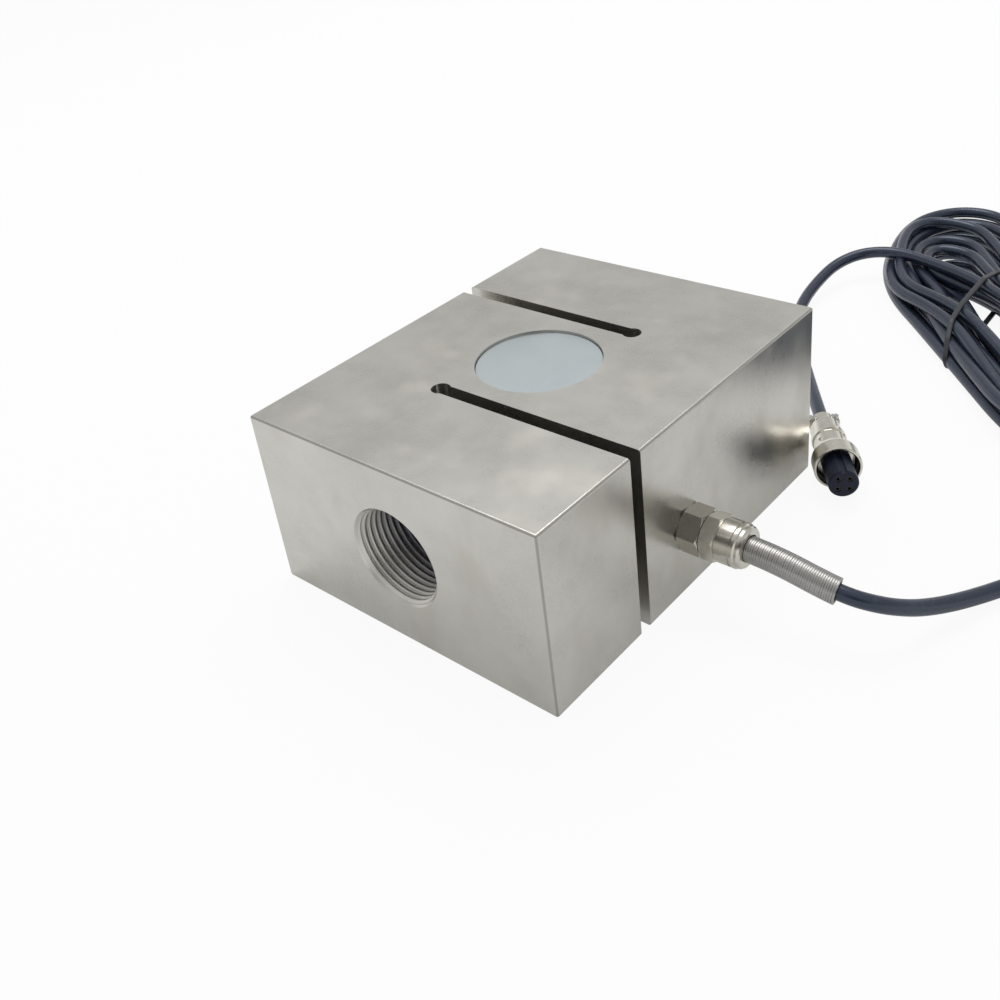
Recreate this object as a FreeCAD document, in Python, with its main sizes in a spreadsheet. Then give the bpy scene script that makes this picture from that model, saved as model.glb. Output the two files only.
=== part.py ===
"""S-type load cell with cable gland, cable hank and screw-locked plug.

Frame: millimetres, +Z up, origin at the middle of the block's bottom face.
+Y runs along the load axis from the front thread to the rear thread,
+X points out of the side that carries the cable gland.
"""
import math
import os

import FreeCAD, Part
import Sketcher

V = FreeCAD.Vector
doc = FreeCAD.newDocument("LoadCell")
sheet = doc.addObject("Spreadsheet::Sheet", "Dimensions")

# ---------------------------------------------------------------- dimensions
SIZES = (
    # the S-shaped steel block
    ("block_width", 106.0),
    ("block_length", 133.0),
    ("block_thick", 58.0),
    ("edge_round", 0.8),
    ("slot_width", 4.5),
    ("slot_offset", 27.0),
    ("keyhole_reach", 14.3),
    ("keyhole_radius", 2.9),
    ("thread_radius", 15.0),
    ("thread_chamfer", 0.6),
    # the two gauge recesses, their covers and what is inside
    ("seat_radius", 19.0),
    ("cavity_radius", 17.4),
    ("web_thick", 8.0),
    ("cover_sink", 0.8),
    ("cover_thick", 1.5),
    ("cover_play", 0.1),
    ("lead_hole_radius", 1.5),
    ("lead_hole_offset", 10.5),
    ("gauge_length", 9.0),
    ("gauge_breadth", 5.0),
    ("gauge_thick", 0.25),
    ("gauge_gap", 1.2),
    ("board_length", 26.0),
    ("board_breadth", 14.0),
    ("board_thick", 1.2),
    ("board_height", 12.0),
    ("resistor_length", 3.2),
    ("resistor_breadth", 1.6),
    ("resistor_thick", 0.7),
    ("lead_radius", 0.25),
    ("core_radius", 0.6),
    ("core_offset", 0.85),
    ("core_drop", 9.5),
    ("core_stagger", 1.6),
    # the cable gland on the side face
    ("gland_shift", 4.5),
    ("gland_height", 21.5),
    ("gland_flats", 12.5),
    ("shank_radius", 5.0),
    ("shank_length", 8.0),
    ("body_hex_length", 6.6),
    ("neck_radius", 4.7),
    ("neck_length", 5.0),
    ("cable_bore_radius", 2.6),
    ("seal_radius", 5.9),
    ("seal_thick", 1.2),
    ("nut_gap", 0.2),
    ("nut_hex_length", 4.6),
    ("cap_radius", 6.5),
    ("cap_length", 5.8),
    ("lip_radius", 6.1),
    ("lip_length", 2.0),
    ("groove_depth", 0.4),
    ("groove_breadth", 0.7),
    ("grommet_radius", 3.6),
    ("grommet_length", 3.6),
    ("mouth_radius", 3.95),
    ("mouth_depth", 4.0),
    ("gland_play", 0.05),
    ("body_hex_turn", 21.8),
    ("nut_hex_turn", 10.0),
    # cable, its spring sleeve, the hank and the tie
    ("cable_radius", 2.3),
    ("sleeve_radius", 3.75),
    ("sleeve_bore", 2.55),
    ("sleeve_straight", 9.6),
    ("hank_thick", 14.5),
    ("hank_round", 4.0),
    ("tie_place", 63.5),
    ("tie_breadth", 2.0),
    ("tie_thick", 1.5),
    ("tie_near", 143.5),
    ("tie_far", 247.5),
    ("tie_play", 0.1),
    # the plug
    ("plug_x", 48.1),
    ("plug_y", 84.63),
    ("plug_z", 6.6),
    ("plug_heading", -53.7),
    ("plug_tilt", 2.1),
    ("clamp_length", 5.8),
    ("clamp_radius", 4.7),
    ("tail_length", 6.3),
    ("tail_radius", 4.9),
    ("rib_length", 2.5),
    ("rib_radius", 5.5),
    ("barrel_length", 9.5),
    ("barrel_radius", 5.1),
    ("flange_length", 1.9),
    ("flange_radius", 5.95),
    ("solder_radius", 3.5),
    ("solder_start", 10.0),
    ("insert_start", 15.4),
    ("insert_root_radius", 3.9),
    ("insert_radius", 4.65),
    ("insert_reach", 9.2),
    ("key_breadth", 1.6),
    ("key_depth", 0.7),
    ("contact_radius", 0.95),
    ("contact_bore", 0.5),
    ("contact_circle", 2.5),
    ("contact_start", 13.4),
    ("contact_sink", 0.3),
    ("cable_stop", 10.8),
    ("nut_radius", 7.5),
    ("nut_back_radius", 6.2),
    ("nut_back", 22.5),
    ("nut_shoulder", 25.0),
    ("nut_front", 30.5),
    ("nut_bore", 6.35),
    ("nut_play", 0.05),
    ("nut_end_play", 0.15),
    ("strap_gap", 0.8),
    ("strap_length", 4.8),
    ("strap_wall", 1.3),
    ("lug_reach", 4.9),
    ("lug_thick", 1.5),
    ("clamp_screw_offset", 3.55),
    ("clamp_screw_radius", 0.75),
    ("clamp_screw_depth", 2.2),
    ("screw_head_radius", 1.3),
    ("screw_head_thick", 1.0),
    ("set_screw_radius", 1.0),
    ("set_screw_place", 18.2),
    ("set_screw_turn", 47.0),
)
for row, (alias, value) in enumerate(SIZES, start=1):
    sheet.set(f"A{row}", alias.replace("_", " "))
    sheet.set(f"B{row}", str(value))
    sheet.setAlias(f"B{row}", alias)
doc.recompute()


def size(alias):
    """Value of one cell of the sheet."""
    return float(getattr(sheet, alias))


def ref(formula):
    """Expression text in which each $name stands for a cell of the sheet."""
    return formula.replace("$", "Dimensions.")


# ------------------------------------------------------------------- helpers
def bind(obj, **formulas):
    """Bind properties of an object to formulas of the sheet."""
    for prop, formula in formulas.items():
        obj.setExpression(prop.replace("__", "."), ref(formula))
    return obj


def origin_plane(body, role):
    return next(f for f in body.Origin.OriginFeatures if f.Role == role)


def new_body(name):
    body = doc.addObject("PartDesign::Body", name)
    body.Label = name
    return body


def new_sketch(body, name, role):
    sketch = body.newObject("Sketcher::SketchObject", name)
    sketch.AttachmentSupport = [(origin_plane(body, role), "")]
    sketch.MapMode = "FlatFace"
    return sketch


def pin(sketch, geo, pos, across, up):
    """Hold one point of a sketch at two formulas; None keeps it on the axis."""
    for kind, axis, formula in (("DistanceX", -2, across), ("DistanceY", -1, up)):
        if formula is None:
            sketch.addConstraint(Sketcher.Constraint("PointOnObject", geo, pos, axis))
            continue
        number = sketch.addConstraint(Sketcher.Constraint(kind, -1, 1, geo, pos, evaluate(formula)))
        sketch.setExpression(f"Constraints[{number}]", ref(formula))


def evaluate(formula):
    """Number that a formula of the sheet gives now."""
    value = sheet.evalExpression(ref(formula))
    return float(getattr(value, "Value", value))


def draw_outline(sketch, corners):
    """Closed outline of straight edges through corners held at formulas."""
    points = [V(0 if a is None else evaluate(a), 0 if b is None else evaluate(b), 0) for a, b in corners]
    count = len(points)
    for i, point in enumerate(points):
        sketch.addGeometry(Part.LineSegment(point, points[(i + 1) % count]), False)
    for i in range(count):
        sketch.addConstraint(Sketcher.Constraint("Coincident", i, 2, (i + 1) % count, 1))
    for i, (across, up) in enumerate(corners):
        pin(sketch, i, 1, across, up)


def draw_circle(sketch, across, up, radius):
    centre = V(0 if across is None else evaluate(across), 0 if up is None else evaluate(up), 0)
    geo = sketch.addGeometry(Part.Circle(centre, V(0, 0, 1), evaluate(radius)), False)
    pin(sketch, geo, 3, across, up)
    number = sketch.addConstraint(Sketcher.Constraint("Radius", geo, evaluate(radius)))
    sketch.setExpression(f"Constraints[{number}]", ref(radius))


def pocket(body, name, sketch, length=None, reverse=False):
    """Cut a sketch into a body and make sure that it takes material away."""
    doc.recompute()
    before = body.Shape.Volume
    cut = body.newObject("PartDesign::Pocket", name)
    cut.Profile = sketch
    cut.Reversed = reverse
    if length is None:
        cut.Type = "ThroughAll"
    else:
        cut.setExpression("Length", ref(length))
    doc.recompute()
    assert body.Shape.Volume < before - 0.01, name
    return cut


def turned(name, profile, label=None):
    """Body of revolution about its local X axis from (along, radius) corners."""
    body = new_body(name)
    if label:
        body.Label = label
    sketch = new_sketch(body, name + "_profile", "XY_Plane")
    draw_outline(sketch, profile)
    turn = body.newObject("PartDesign::Revolution", name + "_turn")
    turn.Profile = sketch
    turn.ReferenceAxis = (sketch, ["H_Axis"])
    turn.Angle = 360
    doc.recompute()
    return body


def cylinder(name, radius, height, **places):
    return bind(doc.addObject("Part::Cylinder", name), Radius=radius, Height=height, **places)


def box(name, length, width, height, **places):
    return bind(doc.addObject("Part::Box", name), Length=length, Width=width, Height=height, **places)


def cut(name, base, tool):
    result = doc.addObject("Part::Cut", name)
    result.Base = base
    result.Tool = tool
    return result


def fuse(name, *shapes):
    result = doc.addObject("Part::MultiFuse", name)
    result.Shapes = list(shapes)
    return result


def common(name, *shapes):
    result = doc.addObject("Part::MultiCommon", name)
    result.Shapes = list(shapes)
    return result


def group(name, *shapes):
    result = doc.addObject("Part::Compound", name)
    result.Links = list(shapes)
    return result


def bend_radii(points):
    """Largest arc that each inner point of a route has room for."""
    radii = []
    for before, point, after in zip(points, points[1:], points[2:]):
        turn = (point - before).getAngle(after - point)
        shorter = min((point - before).Length, (after - point).Length)
        radii.append(0.45 * shorter / math.tan(turn / 2))
    return radii


def rounded_path(points, radii):
    """Wire of straight runs joined by tangent arcs."""
    edges = []
    start = points[0]
    for before, point, after, radius in zip(points, points[1:], points[2:], radii):
        inward = (before - point).normalize()
        outward = (after - point).normalize()
        half_turn = (math.pi - inward.getAngle(outward)) / 2
        reach = radius * math.tan(half_turn)
        first = point + inward * reach
        last = point + outward * reach
        sag = radius / math.cos(half_turn) - radius
        middle = point + (inward + outward).normalize() * sag
        if (first - start).Length > 1e-4:
            edges.append(Part.LineSegment(start, first).toShape())
        edges.append(Part.Arc(first, middle, last).toShape())
        start = last
    edges.append(Part.LineSegment(start, points[-1]).toShape())
    return Part.Wire(edges)


def tube(path, radius):
    """Round solid swept along a path."""
    start = path.Edges[0].firstVertex().Point
    heading = path.Edges[0].tangentAt(path.Edges[0].FirstParameter)
    ring = Part.Wire(Part.Circle(start, heading, radius).toShape())
    return path.makePipeShell([ring], True, True)


def feature(name, shape):
    part = doc.addObject("Part::Feature", name)
    part.Shape = shape
    return part


# ------------------------------------------------------------- the steel block
s_body = new_body("s_body")
outline = new_sketch(s_body, "block_outline", "XY_Plane")
draw_outline(outline, (
    ("-$block_width / 2", "-$block_length / 2"),
    ("$block_width / 2", "-$block_length / 2"),
    ("$block_width / 2", "$block_length / 2"),
    ("-$block_width / 2", "$block_length / 2"),
))
block = s_body.newObject("PartDesign::Pad", "block")
block.Profile = outline
bind(block, Length="$block_thick")
doc.recompute()

rounding = s_body.newObject("PartDesign::Fillet", "edge_rounding")
rounding.Base = (block, [f"Edge{i}" for i in range(1, 13)])
bind(rounding, Radius="$edge_round")
doc.recompute()

# one slot from the +X side ends in a keyhole; turning it half round gives the S
slot_sketch = new_sketch(s_body, "slot_outline", "XY_Plane")
draw_outline(slot_sketch, (
    ("-$keyhole_reach", "-$slot_offset - $slot_width / 2"),
    ("$block_width", "-$slot_offset - $slot_width / 2"),
    ("$block_width", "-$slot_offset + $slot_width / 2"),
    ("-$keyhole_reach", "-$slot_offset + $slot_width / 2"),
))
slot = pocket(s_body, "slot", slot_sketch, reverse=True)
keyhole_sketch = new_sketch(s_body, "keyhole_outline", "XY_Plane")
draw_circle(keyhole_sketch, "-$keyhole_reach", "-$slot_offset", "$keyhole_radius")
keyhole = pocket(s_body, "keyhole", keyhole_sketch, reverse=True)

# threaded holes run from both ends into the slots, countersunk at their mouths
bore_sketch = new_sketch(s_body, "bore_profile", "YZ_Plane")
bind(bore_sketch, AttachmentOffset__Base__y="$block_thick / 2")
draw_outline(bore_sketch, (
    ("-$block_length / 2", None),
    ("-$block_length / 2", "$thread_radius + $thread_chamfer"),
    ("-$block_length / 2 + $thread_chamfer", "$thread_radius"),
    ("-$slot_offset", "$thread_radius"),
    ("-$slot_offset", None),
))
solid_before = s_body.Shape.Volume
bore = s_body.newObject("PartDesign::Groove", "thread_bore")
bore.Profile = bore_sketch
bore.ReferenceAxis = (bore_sketch, ["H_Axis"])
bore.Angle = 360
doc.recompute()
assert s_body.Shape.Volume < solid_before, "thread_bore"

half_turn = s_body.newObject("PartDesign::PolarPattern", "half_turn_copy")
half_turn.Originals = [slot, keyhole, bore]
half_turn.Axis = (origin_plane(s_body, "Z_Axis"), [""])
half_turn.Angle = 360
half_turn.Occurrences = 2
s_body.Tip = half_turn
doc.recompute()

# gauge recesses from both large faces leave the thin shear web between them
for face, level, flip in (("bottom", "0", True), ("top", "$block_thick", False)):
    for step, radius, depth in (
        ("seat", "$seat_radius", "$cover_sink + $cover_thick"),
        ("cavity", "$cavity_radius", "($block_thick - $web_thick) / 2"),
    ):
        ring = new_sketch(s_body, f"{face}_{step}_outline", "XY_Plane")
        bind(ring, AttachmentOffset__Base__z=level)
        draw_circle(ring, None, None, radius)
        pocket(s_body, f"{face}_{step}", ring, depth, reverse=flip)

lead_hole_sketch = new_sketch(s_body, "lead_hole_outline", "XY_Plane")
draw_circle(lead_hole_sketch, "-$lead_hole_offset", None, "$lead_hole_radius")
pocket(s_body, "lead_hole", lead_hole_sketch, reverse=True)

# drilled way for the gland's shank, its seal and the cable, from the +X side
for step, radius, depth in (
    ("seal_seat", "$seal_radius", "$seal_thick"),
    ("gland_hole", "$shank_radius + $gland_play", "$shank_length"),
    ("wire_way", "$cable_bore_radius", "$block_width / 2 - $core_drop + $core_stagger + 2 * $core_radius"),
):
    ring = new_sketch(s_body, step + "_outline", "YZ_Plane")
    bind(ring, AttachmentOffset__Base__z="$block_width / 2")
    draw_circle(ring, "-$gland_shift", "$gland_height", radius)
    pocket(s_body, step, ring, depth)

# -------------------------------------------------------------- cover discs
COVER_PROFILE = (
    (None, None),
    (None, "$seat_radius - $cover_play"),
    ("$cover_thick - 0.2", "$seat_radius - $cover_play"),
    ("$cover_thick", "$seat_radius - $cover_play - 0.2"),
    ("$cover_thick", None),
)
UP = FreeCAD.Rotation(V(0, 1, 0), -90)
DOWN = FreeCAD.Rotation(V(0, 1, 0), 90)
cover_depth = size("cover_sink") + size("cover_thick")
top_cover = turned("top_cover_disc", COVER_PROFILE)
top_cover.Placement = FreeCAD.Placement(V(0, 0, size("block_thick") - cover_depth), UP)
bottom_cover = turned("bottom_cover_disc", COVER_PROFILE)
bottom_cover.Placement = FreeCAD.Placement(V(0, 0, cover_depth), DOWN)

# ---------------------------------------------------- gauges, board and leads
WEB_TOP = "($block_thick + $web_thick) / 2"
WEB_BOTTOM = "($block_thick - $web_thick) / 2"
gauge_nodes = {}
for side, level in (("top", WEB_TOP), ("bottom", WEB_BOTTOM + " - $gauge_thick")):
    pads = []
    for number, place in enumerate(("$gauge_gap / 2", "-$gauge_gap / 2 - $gauge_breadth"), start=1):
        pads.append(box(
            f"{side}_gauge_{number}", "$gauge_length", "$gauge_breadth", "$gauge_thick",
            Placement__Base__x="-$gauge_length / 2",
            Placement__Base__y=place,
            Placement__Base__z=level,
        ))
    gauge_nodes[side] = group(f"{side}_strain_gauges", *pads)

board = box(
    "compensation_board", "$board_length", "$board_breadth", "$board_thick",
    Placement__Base__x="-$board_length / 2",
    Placement__Base__y="-$board_breadth / 2",
    Placement__Base__z="$board_height",
)
chips = []
for number in range(4):
    chips.append(box(
        f"resistor_{number + 1}", "$resistor_breadth", "$resistor_length", "$resistor_thick",
        Placement__Base__x=f"({number} - 1.5) * $resistor_breadth * 2.2",
        Placement__Base__y="-$resistor_length / 2",
        Placement__Base__z="$board_height - $resistor_thick",
    ))
resistors = group("board_resistors", *chips)

doc.recompute()
board_top = size("board_height") + size("board_thick")
web_top = evaluate(WEB_TOP)
web_bottom = evaluate(WEB_BOTTOM)
gauge_edge = size("gauge_length") / 2 - 0.6
gauge_mid = (size("gauge_gap") + size("gauge_breadth")) / 2
lead_radius = size("lead_radius")
leads = []
for way_x in (-1, 1):
    for way_y in (-1, 1):
        pad = V(way_x * gauge_edge, way_y * gauge_mid, web_bottom - size("gauge_thick"))
        straight = Part.Wire(Part.LineSegment(pad, V(pad.x, pad.y, board_top)).toShape())
        leads.append(tube(straight, lead_radius))
for way_x in (-1, 1):
    for way_y in (-1, 1):
        spread = 0.35
        hole = V(-size("lead_hole_offset") + way_x * spread * 2, way_y * spread, 0)
        level = web_top + size("gauge_thick") + lead_radius + (0.6 if way_x > 0 else 0.0)
        route = [
            V(way_x * gauge_edge, way_y * gauge_mid, level),
            V(hole.x, hole.y, level),
            V(hole.x, hole.y, board_top),
        ]
        leads.append(tube(rounded_path(route, [1.0]), lead_radius))
gauge_leads = feature("gauge_lead_wires", Part.makeCompound(leads))

# ----------------------------------------------------------------- the gland
GLAND_AT = V(size("block_width") / 2, -size("gland_shift"), size("gland_height"))
gland_body_turned = turned("gland_body_turned", (
    (None, "$cable_bore_radius"),
    (None, "$shank_radius - 0.4"),
    ("0.4", "$shank_radius"),
    ("$shank_length", "$shank_radius"),
    ("$shank_length + $body_hex_length", "$shank_radius"),
    ("$shank_length + $body_hex_length", "$neck_radius"),
    ("$shank_length + $body_hex_length + $neck_length", "$neck_radius"),
    ("$shank_length + $body_hex_length + $neck_length", "$grommet_radius + $gland_play"),
    ("$shank_length + $body_hex_length + $neck_length / 2", "$grommet_radius + $gland_play"),
    ("$shank_length + $body_hex_length + $neck_length / 2", "$cable_bore_radius"),
))


def hexagon(name, start, length, bore, turn):
    """Six-sided length of a nut about the local X axis, its corners turned off."""
    prism = bind(
        doc.addObject("Part::Prism", name + "_prism"),
        Circumradius="$gland_flats / sqrt(3)",
        Height=length,
    )
    prism.Polygon = 6
    prism.Placement.Rotation = FreeCAD.Rotation(V(1, 0, 0), turn) * FreeCAD.Rotation(V(0, 1, 0), 90)
    bind(prism, Placement__Base__x=start)
    corner = "$gland_flats / sqrt(3)"
    taper = "($gland_flats / sqrt(3) - $gland_flats / 2)"
    trim = turned(name + "_trim", (
        (start, bore),
        (start, f"{corner} - {taper}"),
        (f"{start} + {taper} / 2", corner),
        (f"{start} + {length} - {taper} / 2", corner),
        (f"{start} + {length}", f"{corner} - {taper}"),
        (f"{start} + {length}", bore),
    ))
    return common(name, prism, trim)


body_hex = hexagon("body_hex", "$shank_length", "$body_hex_length", "$cable_bore_radius", size("body_hex_turn"))
gland_body = fuse("gland_body", gland_body_turned, body_hex)
gland_body.Placement.Base = GLAND_AT - V(size("shank_length"), 0, 0)

gland_seal = turned("gland_seal_ring", (
    (None, "$shank_radius + $gland_play"),
    (None, "$seal_radius - $gland_play"),
    ("$seal_thick", "$seal_radius - $gland_play"),
    ("$seal_thick", "$shank_radius + $gland_play"),
))
gland_seal.Placement.Base = GLAND_AT - V(size("seal_thick"), 0, 0)

# the nut's local zero is where its hexagon starts
NUT_START = size("body_hex_length") + size("nut_gap")
NECK_END = "$neck_length - $nut_gap + 0.1"
CAP_FRONT = "$nut_hex_length + $cap_length"
NUT_FRONT = CAP_FRONT + " + $lip_length"
nut_hex = hexagon("nut_hex", "0 * $nut_hex_length", "$nut_hex_length", "$neck_radius + $gland_play",
                  size("nut_hex_turn"))
nut_cap = turned("nut_cap", (
    ("$nut_hex_length / 2", "$neck_radius + $gland_play"),
    ("$nut_hex_length / 2", "$neck_radius + 0.6"),
    ("$nut_hex_length", "$neck_radius + 0.6"),
    ("$nut_hex_length", "$cap_radius - 0.3"),
    ("$nut_hex_length + 0.3", "$cap_radius"),
    (f"{CAP_FRONT} - 2 * $groove_breadth", "$cap_radius"),
    (f"{CAP_FRONT} - 2 * $groove_breadth", "$cap_radius - $groove_depth"),
    (f"{CAP_FRONT} - $groove_breadth", "$cap_radius - $groove_depth"),
    (f"{CAP_FRONT} - $groove_breadth", "$cap_radius"),
    (CAP_FRONT, "$cap_radius"),
    (f"{CAP_FRONT} + 0.4", "$lip_radius"),
    (f"{NUT_FRONT} - 0.8", "$lip_radius"),
    (f"{NUT_FRONT} - 0.2", "$lip_radius - 0.4"),
    (NUT_FRONT, "$lip_radius - 1.0"),
    (NUT_FRONT, "$mouth_radius"),
    (f"{NUT_FRONT} - $mouth_depth", "$mouth_radius"),
    (f"{NUT_FRONT} - $mouth_depth", "$cable_bore_radius"),
    (f"$neck_length / 2 - $nut_gap + $grommet_length + 0.1", "$cable_bore_radius"),
    (f"$neck_length / 2 - $nut_gap + $grommet_length + 0.1", "$grommet_radius + $gland_play"),
    (NECK_END, "$grommet_radius + $gland_play"),
    (NECK_END, "$neck_radius + $gland_play"),
))
gland_nut = fuse("gland_nut", nut_hex, nut_cap)
gland_nut.Placement.Base = GLAND_AT + V(NUT_START, 0, 0)

grommet = turned("gland_grommet", (
    (None, "$cable_radius"),
    (None, "$grommet_radius"),
    ("$grommet_length", "$grommet_radius"),
    ("$grommet_length", "$cable_radius"),
))
grommet.Placement.Base = GLAND_AT + V(size("body_hex_length") + size("neck_length") / 2, 0, 0)

# ------------------------------------------------------------------- cables
# the lead: out of the gland, down to the table and round to the hank
LEAD_START = GLAND_AT - V(size("shank_length") - 1.0, 0, 0)
SLEEVE_START = GLAND_AT + V(NUT_START + evaluate(NUT_FRONT) - size("mouth_depth") + 0.2, 0, 0)
SLEEVE_BEND = SLEEVE_START + V(size("sleeve_straight"), 0, 0)
LEAD_ROUTE = [LEAD_START, SLEEVE_BEND, SLEEVE_BEND + V(16.6, 0.35, -3.3), SLEEVE_BEND + V(22.4, 1.3, -4.6)]
LEAD_ROUTE += [V(*point) for point in (
    (105.3, -0.6, 15.2),
    (109.2, 4.0, 12.4),
    (113.2, 11.3, 8.7),
    (118.0, 21.3, 5.5),
    (123.4, 33.0, 3.3),
    (130.0, 46.0, 2.5),
    (138.4, 60.0, 2.6),
    (145.8, 75.0, 3.1),
    (150.6, 89.0, 4.0),
    (152.6, 101.0, 4.8),
)]
lead_radii = bend_radii(LEAD_ROUTE)
lead_path = rounded_path(LEAD_ROUTE, lead_radii)
signal_cable = feature("signal_cable", tube(lead_path, size("cable_radius")))

# four cores go on from the jacket's end to the board
cores = []
for way_y in (-1, 1):
    for way_z in (-1, 1):
        offset = size("core_offset")
        level = GLAND_AT.z + way_z * offset
        side = GLAND_AT.y + way_y * offset
        drop = size("core_drop") - way_z * size("core_stagger")
        route = [
            V(LEAD_START.x, side, level),
            V(drop, side, level),
            V(drop, side, board_top),
        ]
        cores.append(tube(rounded_path(route, [1.8]), size("core_radius")))
core_wires = feature("core_wires", Part.makeCompound(cores))

# the strain-relief spring: a close-wound sleeve from the nut's mouth along the cable's first bends
first_bend = lead_path.Edges[1].firstVertex().Point
sleeve_path = Part.Wire([Part.LineSegment(SLEEVE_START, first_bend).toShape()] + lead_path.Edges[1:4])
sleeve = tube(sleeve_path, size("sleeve_radius")).cut(tube(sleeve_path, size("sleeve_bore")))
strain_spring = feature("strain_relief_spring", sleeve)

# the hank: outer shape of the tied coil, as a rounded pad
HANK_OUTLINE = (
    (15.0, 211.0), (23.0, 188.0), (36.0, 167.5), (55.0, 150.0), (76.0, 130.0), (98.0, 109.0),
    (120.0, 96.0), (142.0, 95.0), (155.5, 109.0), (154.5, 131.0), (139.5, 154.0), (114.0, 178.5),
    (88.0, 208.5), (68.0, 242.0), (51.0, 269.0), (33.0, 277.5), (16.0, 268.5), (9.5, 241.0),
)
hank_curve = Part.BSplineCurve()
hank_curve.interpolate([V(x, y, 0) for x, y in HANK_OUTLINE], PeriodicFlag=True)
hank_pad = Part.Face(Part.Wire(hank_curve.toShape())).extrude(V(0, 0, size("hank_thick")))
hank_rims = [edge for edge in hank_pad.Edges if edge.isClosed() and edge.Length > size("hank_thick") * 2]
hank_pad = hank_pad.makeFillet(size("hank_round"), hank_rims)

# the tie is a band round the hank and sits in the channel that it presses in
TIE_NEAR = size("tie_near")
TIE_FAR = size("tie_far")


def band(breadth, slack):
    """Closed band round the hank at the tie's place."""
    thick = size("tie_thick")
    corner = V(size("tie_place") - breadth / 2, TIE_NEAR, 0)
    outer = Part.makeBox(breadth, TIE_FAR - TIE_NEAR, size("hank_thick") + slack, corner)
    inner_corner = corner + V(-1, thick + slack, thick + slack)
    inner = Part.makeBox(
        breadth + 2,
        TIE_FAR - TIE_NEAR - 2 * (thick + slack),
        size("hank_thick") - 2 * (thick + slack),
        inner_corner,
    )
    return outer.cut(inner)


tie_play = size("tie_play")
channel = band(size("tie_breadth") + 2 * tie_play, tie_play)
cable_hank = feature("cable_hank", hank_pad.cut(channel))
hank_tie = feature("hank_tie", band(size("tie_breadth"), 0.0))

# -------------------------------------------------------------------- the plug
heading = FreeCAD.Rotation(V(0, 0, 1), size("plug_heading"))
tilt = FreeCAD.Rotation(V(0, 1, 0), -size("plug_tilt"))
PLUG = FreeCAD.Placement(V(size("plug_x"), size("plug_y"), size("plug_z")), heading * tilt)
plug_axis = PLUG.Rotation.multVec(V(1, 0, 0))

TAIL_START = "$clamp_length"
RIB_START = "$clamp_length + $tail_length"
BARREL_START = "$clamp_length + $tail_length + $rib_length"
FLANGE_START = "$clamp_length + $tail_length + $rib_length + $barrel_length"
SHELL_FRONT = FLANGE_START + " + $flange_length"
shell_turned = turned("plug_shell_turned", (
    (None, "$cable_radius + 0.1"),
    (None, "$clamp_radius - 0.3"),
    ("0.3", "$clamp_radius"),
    (TAIL_START, "$clamp_radius"),
    (TAIL_START, "$tail_radius - 0.4"),
    (f"{TAIL_START} + 0.4", "$tail_radius"),
    (RIB_START, "$tail_radius"),
    (f"{RIB_START} + 0.3", "$rib_radius"),
    (f"{BARREL_START} - 0.3", "$rib_radius"),
    (BARREL_START, "$barrel_radius"),
    (FLANGE_START, "$barrel_radius"),
    (FLANGE_START, "$flange_radius"),
    (SHELL_FRONT, "$flange_radius"),
    (SHELL_FRONT, "$insert_root_radius + 0.05"),
    ("$insert_start", "$insert_root_radius + 0.05"),
    ("$insert_start", "$solder_radius"),
    ("$solder_start", "$solder_radius"),
    ("$solder_start", "$cable_radius + 0.1"),
))
# the upper half of the tail is open under the strap; the screws tap into the lower half
clamp_opening = box(
    "clamp_opening", "$clamp_length + 1", "$clamp_radius * 2 + 2", "$clamp_radius + 1",
    Placement__Base__x="-1",
    Placement__Base__y="-$clamp_radius - 1",
)
strap_screw_holes = []
for number, way in enumerate(("-", ""), start=1):
    strap_screw_holes.append(cylinder(
        f"clamp_hole_{number}", "$clamp_screw_radius", "$clamp_screw_depth + 1",
        Placement__Base__x="$clamp_length / 2",
        Placement__Base__y=f"{way}$clamp_screw_offset",
        Placement__Base__z="-$clamp_screw_depth",
    ))
set_screw_hole = cylinder("set_screw_hole", "$set_screw_radius", "$barrel_radius")
set_screw_way = FreeCAD.Rotation(V(1, 0, 0), size("set_screw_turn"))
SET_SCREW_TOP = 0.15
set_screw_foot = set_screw_way.multVec(V(0, 0, size("insert_root_radius")))
set_screw_hole.Placement = FreeCAD.Placement(V(size("set_screw_place"), 0, 0) + set_screw_foot, set_screw_way)
shell_cuts = fuse("shell_cuts", clamp_opening, set_screw_hole, *strap_screw_holes)
plug_shell = cut("plug_shell", shell_turned, shell_cuts)
plug_shell.Placement = PLUG

# strap of the cable clamp: half a sleeve with two lugs
strap_arch = bind(doc.addObject("Part::Cylinder", "strap_arch"), Radius="$cable_radius + $strap_wall",
                  Height="$strap_length")
strap_arch.Placement.Rotation = FreeCAD.Rotation(V(0, 1, 0), 90)
bind(strap_arch, Placement__Base__x="($clamp_length - $strap_length) / 2")
strap_lugs = box(
    "strap_lugs", "$strap_length", "$lug_reach * 2", "$lug_thick",
    Placement__Base__x="($clamp_length - $strap_length) / 2",
    Placement__Base__y="-$lug_reach",
    Placement__Base__z="$strap_gap",
)
strap_blank = fuse("strap_blank", strap_arch, strap_lugs)
strap_bore = bind(doc.addObject("Part::Cylinder", "strap_bore"), Radius="$cable_radius",
                  Height="$clamp_length + 2")
strap_bore.Placement.Rotation = FreeCAD.Rotation(V(0, 1, 0), 90)
bind(strap_bore, Placement__Base__x="-1")
strap_below = box(
    "strap_below", "$clamp_length + 2", "$lug_reach * 2 + 2", "$clamp_radius + 5",
    Placement__Base__x="-1",
    Placement__Base__y="-$lug_reach - 1",
    Placement__Base__z="$strap_gap - $clamp_radius - 5",
)
strap_holes = []
for number, way in enumerate(("-", ""), start=1):
    strap_holes.append(cylinder(
        f"strap_hole_{number}", "$clamp_screw_radius + 0.05", "$lug_thick + 4",
        Placement__Base__x="$clamp_length / 2",
        Placement__Base__y=f"{way}$clamp_screw_offset",
    ))
head_room = []
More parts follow.
